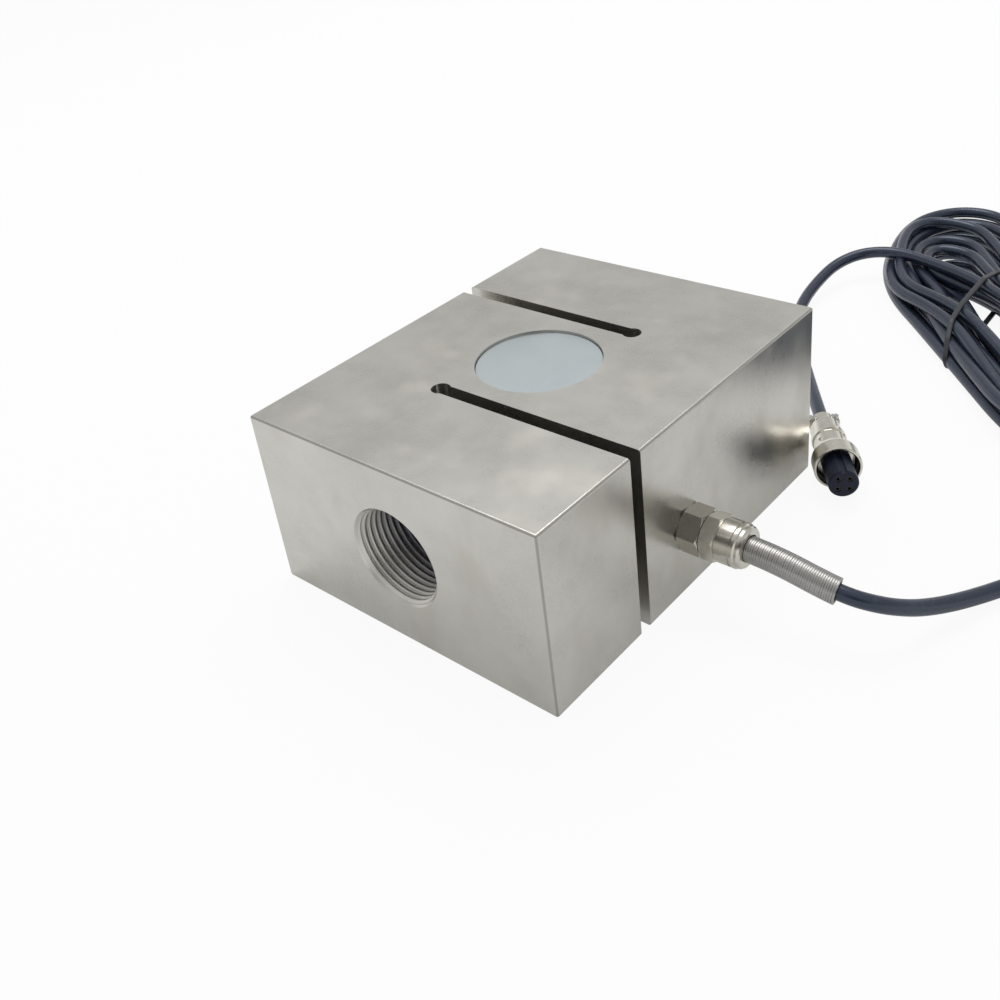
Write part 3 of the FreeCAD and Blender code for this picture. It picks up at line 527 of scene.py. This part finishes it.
def circuit_board():
    """Green board with paler tracks under the lacquer."""
    f = finish("circuit_board")
    place = f.place()
    x, y, _ = f.parts(place)
    across = (x * (2 * math.pi / (3.1 * MM))).sine().rise(0.80, 0.86)
    along = (y * (2 * math.pi / (4.3 * MM))).sine().rise(0.84, 0.90)
    track = across.most(along)
    weave = f.noise(f.stretch(place, 5.0, 1.0, 1.0), 0.7 * MM, 2.0)
    board = f.colour(weave, (0.012, 0.10, 0.040), (0.018, 0.15, 0.055))
    return f.surface(
        base_color=f.colour(track, board, (0.055, 0.25, 0.10)),
        roughness=0.34 + 0.1 * weave,
        normal=f.bump(track, 0.03 * MM, 0.7),
    )


def wire_metal(name, colour, metallic, roughness):
    """Bare or lacquered wire and contact metal, a little uneven in tone."""
    f = finish(name)
    place = f.place()
    cloud = f.noise(place, 1.6 * MM, 3.0)
    return f.surface(
        base_color=f.colour(cloud, shade(colour, 0.85), shade(colour, 1.12)),
        metallic=metallic,
        roughness=roughness + 0.12 * cloud,
        normal=f.bump(cloud, 0.01 * MM, 0.4),
    )


def core_colours():
    """Four core colours, parted by the side of the cable that each core lies on."""
    f = finish("core_insulation")
    place = f.place()
    _, y, z = f.parts(place)
    cloud = f.noise(place, 1.5 * MM, 2.0)
    side = (y - GLAND_SIDE * MM).rise(-0.05 * MM, 0.05 * MM)
    level = (z - GLAND_LEVEL * MM).rise(-0.05 * MM, 0.05 * MM)
    low = f.colour(side, (0.45, 0.02, 0.015), (0.015, 0.015, 0.017))
    high = f.colour(side, (0.02, 0.22, 0.05), (0.72, 0.71, 0.68))
    base = f.colour(level, low, high)
    return f.surface(
        base_color=f.colour(0.18 * cloud, base, (0.5, 0.5, 0.5)),
        roughness=0.36 + 0.12 * cloud,
        normal=f.bump(cloud, 0.01 * MM, 0.4),
    )


def paint(material, *names):
    """Gives CAD nodes a material."""
    for name in names:
        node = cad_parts[name]
        for slot in node.material_slots:
            slot.material = material
        if not node.material_slots:
            node.data.materials.append(material)


# --------------------------------------------------------------------- shapes
def piece(name, data, material, body="sensor"):
    """A new piece of the object, riding on a CAD body."""
    made = bpy.data.objects.new(name, data)
    bpy.context.scene.collection.objects.link(made)
    made.data.materials.append(material)
    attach(made, body)
    return made


def mesh(name, points, faces, smooth=True, sharp=None):
    data = bpy.data.meshes.new(name)
    data.from_pydata([tuple(p) for p in points], [], faces)
    if smooth:
        data.shade_smooth()
    if sharp is not None:
        data.set_sharp_from_angle(angle=math.radians(sharp))
    data.update()
    return data


def grid_faces(rows, across, wrap_rows):
    """The faces of a tube of rows rings with across points in each."""
    faces = []
    for i in range(rows if wrap_rows else rows - 1):
        for j in range(across):
            a, b = i * across + j, i * across + (j + 1) % across
            c, d = ((i + 1) % rows) * across + j, ((i + 1) % rows) * across + (j + 1) % across
            faces.append((a, b, d, c))
    return faces


def bore_thread(pitch, root, side):
    """The internal thread of one bore, from its chamfered mouth to the slot.

    One turn's profile runs along the bore, and each step round the bore moves
    it on, so that the last point of a turn meets the first of the next."""
    steps = 84
    height = 0.44 * pitch
    stations = (0.0, 0.08, 0.20, 0.33, 0.42, 0.58, 0.67, 0.80, 0.92, 1.0)  # of a pitch
    rises = (0.0, 0.1, 0.55, 0.95, 1.0, 1.0, 0.95, 0.55, 0.1, 0.0)  # of the height
    count = len(stations) - 1
    mouth, end = MOUTH_DEPTH * MM, (BORE_FACE - BORE_END) * MM
    turns = math.ceil(end / pitch) + 2
    points = []
    for i in range(turns * steps + 1):
        angle = 2 * math.pi * i / steps
        lead = (i / steps - 1.5) * pitch
        for station in stations[:-1]:
            kept = min(max(lead + station * pitch, mouth), end)
            up = float(np.interp((kept - lead) / pitch % 1.0, stations, rises))
            radius = max(root - height * up, min(MOUTH_RADIUS * MM - kept, root))
            points.append(
                (
                    radius * math.cos(angle),
                    side * (BORE_FACE * MM - kept),
                    BORE_HEIGHT * MM + radius * math.sin(angle),
                )
            )
    faces = []
    total = turns * steps
    for i in range(total):
        for k in range(count):
            a = i * count + k
            b = (i + 1) * count + k
            if k < count - 1:
                c, d = b + 1, a + 1
            elif i + 1 + steps <= total:
                c, d = (i + 1 + steps) * count, (i + steps) * count
            else:
                continue
            depths = [abs(points[n][1]) for n in (a, b, c, d)]
            if max(depths) - min(depths) < 1e-7:
                continue  # pressed flat against the mouth or the end
            faces.append((a, b, c, d) if side > 0 else (d, c, b, a))
    return mesh("bore_thread", points, faces)


def end_caps(rows, sides):
    """The two end faces of an open tube."""
    return [tuple(range(sides)), tuple(reversed(range((rows - 1) * sides, rows * sides)))]


# ---------------------------------------------------------------------- cable
def spline_basis(count, per):
    """Weights of count control points at per samples a span of the cable's spline."""
    knots = np.concatenate([[0, 0, 0], np.arange(1, count - 2), [count - 2] * 3]).astype(float)
    samples = np.linspace(0, count - 2, (count - 2) * per + 1)
    samples = np.clip(samples, 0, count - 2 - 1e-9)
    weights = np.zeros((len(samples), count))
    for row, t in enumerate(samples):
        span = int(np.searchsorted(knots, t, side="right")) - 1
        values = [1.0]
        for degree in (1, 2):
            wider = [0.0] * (degree + 1)
            for k, value in enumerate(values):
                left = knots[span - degree + k + 1]
                right = knots[span + k + 1]
                share = (t - left) / (right - left) if right > left else 0.0
                wider[k + 1] += share * value
                wider[k] += (1 - share) * value
            values = wider
        weights[row, span - 2 : span + 1] = values
    return weights


def turn_point(number):
    """Where one point of the hank's turns goes, and how firmly it stays there."""
    around = len(WIDEST_TURN)
    turn, j = divmod(number, around)
    spread, height, hold = TURNS[turn]
    if j < SPOTS[0]:
        before = TURNS[turn - 1] if turn else TURNS[0]
        part = (j + around - SPOTS[-1]) / (around + SPOTS[0] - SPOTS[-1])
        ends = (before[0][-1], spread[0]), (before[1][-1], height[0])
    else:
        spot = max(i for i, start in enumerate(SPOTS) if start <= j)
        if spot < len(SPOTS) - 1:
            part = (j - SPOTS[spot]) / (SPOTS[spot + 1] - SPOTS[spot])
            ends = (spread[spot], spread[spot + 1]), (height[spot], height[spot + 1])
        else:
            after = TURNS[turn + 1] if turn + 1 < len(TURNS) else LAST_TURN
            part = (j - SPOTS[-1]) / (around + SPOTS[0] - SPOTS[-1])
            ends = (spread[-1], after[0][0]), (height[-1], after[1][0])
    part = part * part * (3 - 2 * part)
    f, z = (a + (b - a) * part for a, b in ends)
    wide = np.array(WIDEST_TURN[j], float)
    place = wide + f * (np.array(NARROWEST_TURN[j], float) - wide)
    return (place[0], place[1], z), hold


def tie_ways():
    """From above: where the tie's plane starts, the way it runs and the way it faces."""
    start, end = (np.array(place) for place in TIE_ENDS)
    runs = (end - start) / np.linalg.norm(end - start)
    return start, runs, np.array([-runs[1], runs[0]])


def tie_frame(points):
    """Each point's distance from the tie's plane, and its place along it."""
    start, runs, faces = tie_ways()
    from_start = points[:, :2] - start
    return from_start @ faces - TIE_LEAN * (points[:, 2] - MIDDLE), from_start @ runs


def tie_step(points, thick):
    """How far the tie, passing underneath, lifts what lies on the floor."""
    near = np.clip(1 - np.abs(tie_frame(points)[0]) / TIE_FOOT, 0, 1)
    return thick * near * near * (3 - 2 * near)


def settled(points, hold, radius, tie_thick, rounds=120, per=4):
    """Moves the hank's points until its turns lie beside and on each other.

    Where two stretches of the cable come closer than its diameter, both are
    pushed apart, each by how loosely it is held, and the push is eased along
    the cable. Nothing sinks below the floor, or the tie's run along it, or
    rises above the top turn."""
    gap, low = 2 * radius + 0.1, radius + 0.05
    start, points = points.copy(), points.copy()
    weights = spline_basis(len(points), per)
    loose = weights @ (1 / hold)
    pinned = hold >= FIXED
    for _ in range(rounds):
        line = weights @ points
        run = np.concatenate([[0], np.cumsum(np.linalg.norm(np.diff(line, axis=0), axis=1))])
        apart = line[:, None] - line[None]
        far = np.linalg.norm(apart, axis=2)
        other = np.abs(run[:, None] - run[None]) > OTHER_STRAND
        first, second = np.where(np.triu((far < gap) & other))
        if not len(first):
            break
        between = far[first, second]
        way = apart[first, second] / np.maximum(between, 1e-6)[:, None]
        way[between < 0.3] = (0, 0, 1)
        move = (gap - between)[:, None] * way
        share = (loose[first] / (loose[first] + loose[second]))[:, None]
        push, met = np.zeros_like(line), np.zeros(len(line))
        np.add.at(push, first, move * share)
        np.add.at(push, second, -move * (1 - share))
        np.add.at(met, first, 1)
        np.add.at(met, second, 1)
        push /= np.maximum(met, 1)[:, None]
        felt = weights.T @ (met > 0).astype(float)
        step = (weights.T @ push) / np.maximum(felt, 0.3)[:, None]
        points += PUSH * np.where(felt[:, None] > 0.05, step, 0)
        before, after = points[1:-1] - points[:-2], points[2:] - points[1:-1]
        lengths = np.linalg.norm(before, axis=1), np.linalg.norm(after, axis=1)
        turning = np.arccos(np.clip((before * after).sum(1) / (lengths[0] * lengths[1]), -1, 1))
        bend = (lengths[0] + lengths[1]) / 2 / np.maximum(turning, 0.01)
        open_up = OPENING * np.clip(1 - bend / TIGHTEST, 0, 1) * ~pinned[1:-1]
        points[1:-1] += open_up[:, None] * (after - before) / 2
        shift = points - start
        eased = shift.copy()
        eased[1:-1] = 0.5 * shift[1:-1] + 0.25 * (shift[:-2] + shift[2:])
        shift = (1 - EASING) * shift + EASING * eased
        shift *= (1 - DRAW_BACK * np.minimum(hold, 5))[:, None]
        shift[pinned] = 0
        points = start + shift
        step_up = tie_step(points, tie_thick)
        points[:, 2] = np.maximum(points[:, 2], low + step_up)
        points[~pinned, 2] = np.minimum(points[~pinned, 2], (CEILING + step_up)[~pinned])
    return points


def cable_route(radius, tie_thick):
    """The control points of the whole cable, from the gland to the plug, in mm."""
    points, hold = [*LEAD], [FIXED] * len(LEAD)
    for number in range(2, len(TURNS) * len(WIDEST_TURN)):
        place, firm = turn_point(number)
        points.append(place)
        hold.append(firm)
    points += [*CROSSING, *TAIL]
    hold += [LAID] * len(CROSSING) + [FIXED] * len(TAIL)
    return settled(np.array(points, float), np.array(hold), radius, tie_thick)


def spline_curve(name, points, bevel):
    """One open NURBS spline through space, in metres."""
    data = bpy.data.curves.new(name, "CURVE")
    data.dimensions = "3D"
    spline = data.splines.new("NURBS")
    spline.points.add(len(points) - 1)
    for target, place in zip(spline.points, points):
        target.co = (*(float(v) * MM for v in place), 1.0)
    spline.order_u = 3
    spline.use_endpoint_u = True
    spline.use_smooth = True
    data.resolution_u = 10
    data.bevel_depth = bevel
    data.bevel_resolution = 5
    data.use_fill_caps = True
    return data


def line_of(curve_data):
    """The points that a curve's line passes through, read from its spline."""
    bare = curve_data.copy()
    bare.bevel_depth = 0
    holder = bpy.data.objects.new("line", bare)
    bpy.context.scene.collection.objects.link(holder)
    bpy.context.view_layer.update()
    read = bpy.data.meshes.new_from_object(holder)
    line = np.array([tuple(v.co) for v in read.vertices])
    bpy.data.objects.remove(holder)
    bpy.data.curves.remove(bare)
    bpy.data.meshes.remove(read)
    return line


def along(line, distances):
    """Points at these distances along a line."""
    run = np.concatenate([[0], np.cumsum(np.linalg.norm(np.diff(line, axis=0), axis=1))])
    return np.stack([np.interp(distances, run, line[:, i]) for i in range(3)], axis=1)


def tie_loop(line, radius, thick):
    """The tie's line, drawn tight round every strand that crosses its plane."""
    away, run = tie_frame(line / MM)
    held = (run[:-1] > TIE_TAKES[0]) & (run[:-1] < TIE_TAKES[1])
    crossing = np.where((away[:-1] * away[1:] < 0) & held)[0]
    part = away[crossing] / (away[crossing] - away[crossing + 1])
    across = run[crossing] + part * (run[crossing + 1] - run[crossing])
    height = (line[crossing, 2] + part * (line[crossing + 1, 2] - line[crossing, 2])) / MM
    loop = []
    for angle in np.linspace(0, 2 * math.pi, 360, endpoint=False):
        way = np.array([math.cos(angle), math.sin(angle)])
        furthest = int(np.argmax(across * way[0] + height * way[1]))
        loop.append(np.array([across[furthest], height[furthest]]) + (radius + thick / 2) * way)
    loop = np.array(loop)
    loop[:, 1] = np.maximum(loop[:, 1], thick / 2)
    closed = np.vstack([loop, loop[:1]])
    length = np.concatenate([[0], np.cumsum(np.linalg.norm(np.diff(closed, axis=0), axis=1))])
    even = np.linspace(0, length[-1], 260, endpoint=False)
    flat = np.stack([np.interp(even, length, closed[:, i]) for i in range(2)], axis=1)
    start, runs, faces = tie_ways()
    return [
        np.array([*(start + u * runs + TIE_LEAN * (v - MIDDLE) * faces), v]) * MM
        for u, v in flat
    ]


def band(line, across, wide, thick, closed, rounding, sides=12):
    """A flat band with rounded edges; across is the way its width lies."""
    line = np.asarray(line)
    ahead = np.roll(line, -1, 0) - np.roll(line, 1, 0) if closed else np.gradient(line, axis=0)
    ahead /= np.linalg.norm(ahead, axis=1)[:, None]
    ways = np.broadcast_to(across, line.shape)
    points = []
    for here, onward, way in zip(line, ahead, ways):
        out = np.cross(onward, way)
        for k in range(sides):
            angle = 2 * math.pi * (k + 0.5) / sides
            c, s = math.cos(angle), math.sin(angle)
            u = math.copysign(abs(c) ** rounding, c) * wide / 2
            v = math.copysign(abs(s) ** rounding, s) * thick / 2
            points.append(here + u * way + v * out)
    faces = grid_faces(len(line), sides, wrap_rows=closed)
    return points, faces if closed else faces + end_caps(len(line), sides)


def spring_points(line, start, length, radius, wire, per_turn=26):
    """The spring's wire, wound close round the cable's own line, and that line's way."""
    pitch = wire * 1.01
    count = int(length / pitch * per_turn) + 1
    steps = np.arange(count) / per_turn * pitch
    centre = along(line, start + steps)
    ahead = np.gradient(centre, axis=0)
    ahead /= np.linalg.norm(ahead, axis=1)[:, None]
    side = np.array([0.0, 0.0, 1.0])
    wound = []
    for i in range(count):
        side = side - ahead[i] * np.dot(side, ahead[i])
        side /= np.linalg.norm(side)
        over = np.cross(ahead[i], side)
        angle = 2 * math.pi * i / per_turn
        outward = math.cos(angle) * side + math.sin(angle) * over
        wound.append(centre[i] + (radius - wire / 2) * outward)
    return wound, ahead


# ---------------------------------------------------------------------- stage
def lay_floor(scene, colour):
    """A pale floor that is plain white to look at and dimmer in reflections, where its glow is
    painted light that fades near the block into painted shade.
    """
    far = 4.0
    data = mesh(
        "floor",
        [(-far, -far, 0), (far, -far, 0), (far, far, 0), (-far, far, 0)],
        [(0, 1, 2, 3)], smooth=False,
    )
    floor = bpy.data.objects.new("floor", data)
    scene.collection.objects.link(floor)
    f = finish("pale_floor")
    rays = f.node("ShaderNodeLightPath").socket.node.outputs
    clear = Wire(f, rays["Is Camera Ray"]).most(Wire(f, rays["Is Transmission Ray"]))
    place = f.place()
    # painted light: in reflections the floor glows from 0.24 near the block to 0.76 beyond 0.28 m,
    # so that the floor reflected near the block reads darker
    away = f.vector("DISTANCE", place, (0.05, 0.0, 0.0), out="Value").rise(0.07, 0.28)
    seen = (0.92 * clear).most((0.24 + 0.52 * away) * Wire(f, rays["Is Glossy Ray"]))
    tone = f.noise(place, 0.3, 2.0)
    matt = f.node(
        "ShaderNodeBsdfDiffuse", {},
        {"Color": f.colour(tone, shade(colour, 0.995), colour)},
    )
    glow = f.node("ShaderNodeEmission", {}, {"Color": (1, 1, 1, 1), "Strength": 1.0})
    both = f.node("ShaderNodeMixShader", {}, {0: seen, 1: matt, 2: glow})
    f.node("ShaderNodeOutputMaterial", {}, {"Surface": both})
    data.materials.append(f.owner)


def light_room(scene, room):
    """Soft light from all round; reflections see a graded sky with one dark side."""
    world = bpy.data.worlds.new("studio")
    scene.world = world
    w = Finish(world)
    rays = w.node("ShaderNodeLightPath").socket.node.outputs
    clear = Wire(w, rays["Is Camera Ray"]).most(Wire(w, rays["Is Transmission Ray"]))
    mirrored = Wire(w, rays["Is Glossy Ray"])
    way = w.node("ShaderNodeTexCoord", out="Generated")
    _, _, z = w.parts(way)
    sky = 1.03 - 0.50 * z.rise(0.05, 0.38) + 0.14 * z.rise(0.44, 0.60) + 0.12 * z.rise(0.80, 0.98)
    toward = w.vector("DOT_PRODUCT", way, (0.607, -0.615, 0.502), out="Value")
    sky = sky - 0.47 * toward.rise(0.88, 0.97)
    strength = mirrored * sky + (1.0 - mirrored) * room
    strength = clear + (1.0 - clear) * strength
    back = w.node("ShaderNodeBackground", {}, {"Color": (1, 1, 1, 1), "Strength": strength})
    w.node("ShaderNodeOutputWorld", {}, {"Surface": back})


def hang_lamp(scene, power):
    """One wide soft lamp above and behind, aimed at the middle of the object."""
    lamp = bpy.data.lights.new("overhead_lamp", "AREA")
    lamp.shape = "RECTANGLE"
    lamp.size, lamp.size_y = 1.0, 0.7
    lamp.energy = power
    hung = bpy.data.objects.new("overhead_lamp", lamp)
    hung.location = (-0.30, 0.45, 1.3)
    aim = Vector((0.05, 0.1, 0.0)) - Vector(hung.location)
    hung.rotation_euler = aim.to_track_quat("-Z", "Y").to_euler()
    scene.collection.objects.link(hung)


def set_camera(scene):
    lens = bpy.data.cameras.new("camera")
    lens.sensor_fit = "HORIZONTAL"
    lens.sensor_width = 36
    lens.lens = CAMERA_LENS
    lens.shift_x, lens.shift_y = CAMERA_SHIFT
    lens.clip_start, lens.clip_end = 0.01, 20
    camera = bpy.data.objects.new("camera", lens)
    camera.location = CAMERA_PLACE
    camera.rotation_euler = Euler([math.radians(a) for a in CAMERA_TURN])
    scene.collection.objects.link(camera)
    scene.camera = camera


# ------------------------------------------------------------------ operators
class LoadCellDressBlock(bpy.types.Operator):
    """Plates the block and cuts the thread in both of its bores"""

    bl_idname = "loadcell.dress_block"
    bl_label = "Block and threads"

    def execute(self, context):
        look = context.scene.load_cell_block
        paint(satin_nickel(look.nickel), "s_body")
        cut = machined_thread(look.nickel)
        for name, side in (("front_bore_thread", -1), ("rear_bore_thread", 1)):
            data = bore_thread(look.thread_pitch, look.thread_radius, side)
            piece(name, data, cut)
        return {"FINISHED"}


class LoadCellDressInside(bpy.types.Operator):
    """Finishes the cover discs and what lies sealed under them"""

    bl_idname = "loadcell.dress_inside"
    bl_label = "Covers, gauges and board"

    def execute(self, context):
        paint(cover_steel(), "top_cover_disc", "bottom_cover_disc")
        paint(moulded("potting_resin", (0.025, 0.024, 0.022), 0.30), "top_potting", "bottom_potting")
        paint(gauge_foil(), "top_strain_gauges", "bottom_strain_gauges")
        paint(circuit_board(), "compensation_board")
        paint(moulded("resistor_body", (0.03, 0.03, 0.034), 0.35, 1 * MM), "board_resistors")
        paint(wire_metal("lead_wire", (0.62, 0.28, 0.14), 1.0, 0.25), "gauge_lead_wires")
        paint(core_colours(), "core_wires")
        return {"FINISHED"}


class LoadCellDressGland(bpy.types.Operator):
    """Plates the cable gland and finishes its seals"""

    bl_idname = "loadcell.dress_gland"
    bl_label = "Cable gland"

    def execute(self, context):
        look = context.scene.load_cell_plug
        # painted shade: the gland's plating is the plug's nickel at 0.85, darker for the dark
        # reflections on its hex and cap
        paint(bright_nickel(shade(look.nickel, 0.85), "gland_nickel"), "gland_body", "gland_nut")
        rubber = moulded("gland_rubber", (0.018, 0.018, 0.02), 0.55, 2 * MM)
        paint(rubber, "gland_seal_ring", "gland_grommet")
        return {"FINISHED"}


class LoadCellRunCable(bpy.types.Operator):
    """Runs the cable from the gland through its hank to the plug, with its spring and tie"""

    bl_idname = "loadcell.run_cable"
    bl_label = "Cable, spring and tie"

    def execute(self, context):
        look = context.scene.load_cell_cable
        route = cable_route(look.diameter / 2 / MM, look.tie_thickness / MM)
        data = spline_curve("cable", route, look.diameter / 2)
        cable = piece("cable", data, jacket(look.jacket))
        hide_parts("signal_cable", "cable_hank", "cable_tail")
        line = line_of(data)

        wound, ways = spring_points(
            line, (SLEEVE_START - LEAD[0][0]) * MM, look.spring_length,
            look.spring_radius, look.spring_wire,
        )
        points, faces = band(
            wound, ways, look.spring_wire, look.spring_wire, closed=False, rounding=0.15,
        )
        coil = mesh("spring_turns", points, faces, sharp=35)
        spring = piece("spring_turns", coil, spring_steel())
        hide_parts("strain_relief_spring")

        loop = tie_loop(line, look.diameter / 2 / MM, look.tie_thickness / MM)
        points, faces = band(
            loop, (*tie_ways()[2], 0), look.tie_width, look.tie_thickness,
            closed=True, rounding=0.45,
        )
        nylon = moulded("tie_nylon", (0.02, 0.022, 0.028), 0.38, 4 * MM)
        tie = piece("tie_band", mesh("tie_band", points, faces), nylon)
        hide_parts("hank_tie")
        return {"FINISHED"}


class LoadCellDressPlug(bpy.types.Operator):
    """Plates the plug's metal and finishes its insert, contacts and screws"""

    bl_idname = "loadcell.dress_plug"
    bl_label = "Plug"

    def execute(self, context):
        look = context.scene.load_cell_plug
        plate = bright_nickel(look.nickel, "plug_nickel")
        paint(plate, "plug_shell", "plug_cable_strap")
        paint(nut_nickel(look.nickel), "plug_coupling_nut")
        paint(bright_nickel((0.6, 0.59, 0.56), "screw_steel"), "plug_clamp_screws", "plug_set_screw")
        paint(moulded("insert_plastic", look.insert, 0.36, gloss=0.25), "plug_insert")
        # painted shade: the contacts are painted nearly black, far darker than brass, for the shade
        # deep in the nut
        paint(wire_metal("contact_brass", (0.045, 0.042, 0.040), 0.6, 0.40), "plug_contacts")
        paint(core_colours(), "plug_core_wires")
        return {"FINISHED"}


class LoadCellSetStage(bpy.types.Operator):
    """Lays the floor and sets the lamp, the room and the camera"""

    bl_idname = "loadcell.set_stage"
    bl_label = "Stage"

    def execute(self, context):
        look = context.scene.load_cell_stage
        scene = context.scene
        lay_floor(scene, look.floor)
        light_room(scene, look.room)
        hang_lamp(scene, look.overhead)
        set_camera(scene)
        scene.view_settings.view_transform = "Standard"
        return {"FINISHED"}


class LoadCellPanel(bpy.types.Panel):
    bl_idname = "VIEW3D_PT_load_cell"
    bl_label = "S Type Load Cell"
    bl_space_type = "VIEW_3D"
    bl_region_type = "UI"
    bl_category = "Load Cell"

    def draw(self, context):
        layout = self.layout
        scene = context.scene
        for group in (
            scene.load_cell_block, scene.load_cell_cable,
            scene.load_cell_plug, scene.load_cell_stage,
        ):
            box = layout.box()
            for name in type(group).__annotations__:
                box.prop(group, name)
        for step in STEPS:
            layout.operator(step.bl_idname)


GROUPS = (LoadCellBlock, LoadCellCable, LoadCellPlug, LoadCellStage)
STEPS = (
    LoadCellDressBlock, LoadCellDressInside, LoadCellDressGland,
    LoadCellRunCable, LoadCellDressPlug, LoadCellSetStage,
)


def register():
    for kind in (*GROUPS, *STEPS, LoadCellPanel):
        bpy.utils.register_class(kind)
    scene = bpy.types.Scene
    scene.load_cell_block = bpy.props.PointerProperty(type=LoadCellBlock)
    scene.load_cell_cable = bpy.props.PointerProperty(type=LoadCellCable)
    scene.load_cell_plug = bpy.props.PointerProperty(type=LoadCellPlug)
    scene.load_cell_stage = bpy.props.PointerProperty(type=LoadCellStage)


def unregister():
    scene = bpy.types.Scene
    del scene.load_cell_block, scene.load_cell_cable
    del scene.load_cell_plug, scene.load_cell_stage
    for kind in reversed((*GROUPS, *STEPS, LoadCellPanel)):
        bpy.utils.unregister_class(kind)


def main():
    register()
    bpy.ops.loadcell.dress_block()
    bpy.ops.loadcell.dress_inside()
    bpy.ops.loadcell.dress_gland()
    bpy.ops.loadcell.run_cable()
    bpy.ops.loadcell.dress_plug()
    bpy.ops.loadcell.set_stage()


if __name__ == "__main__":
    main()
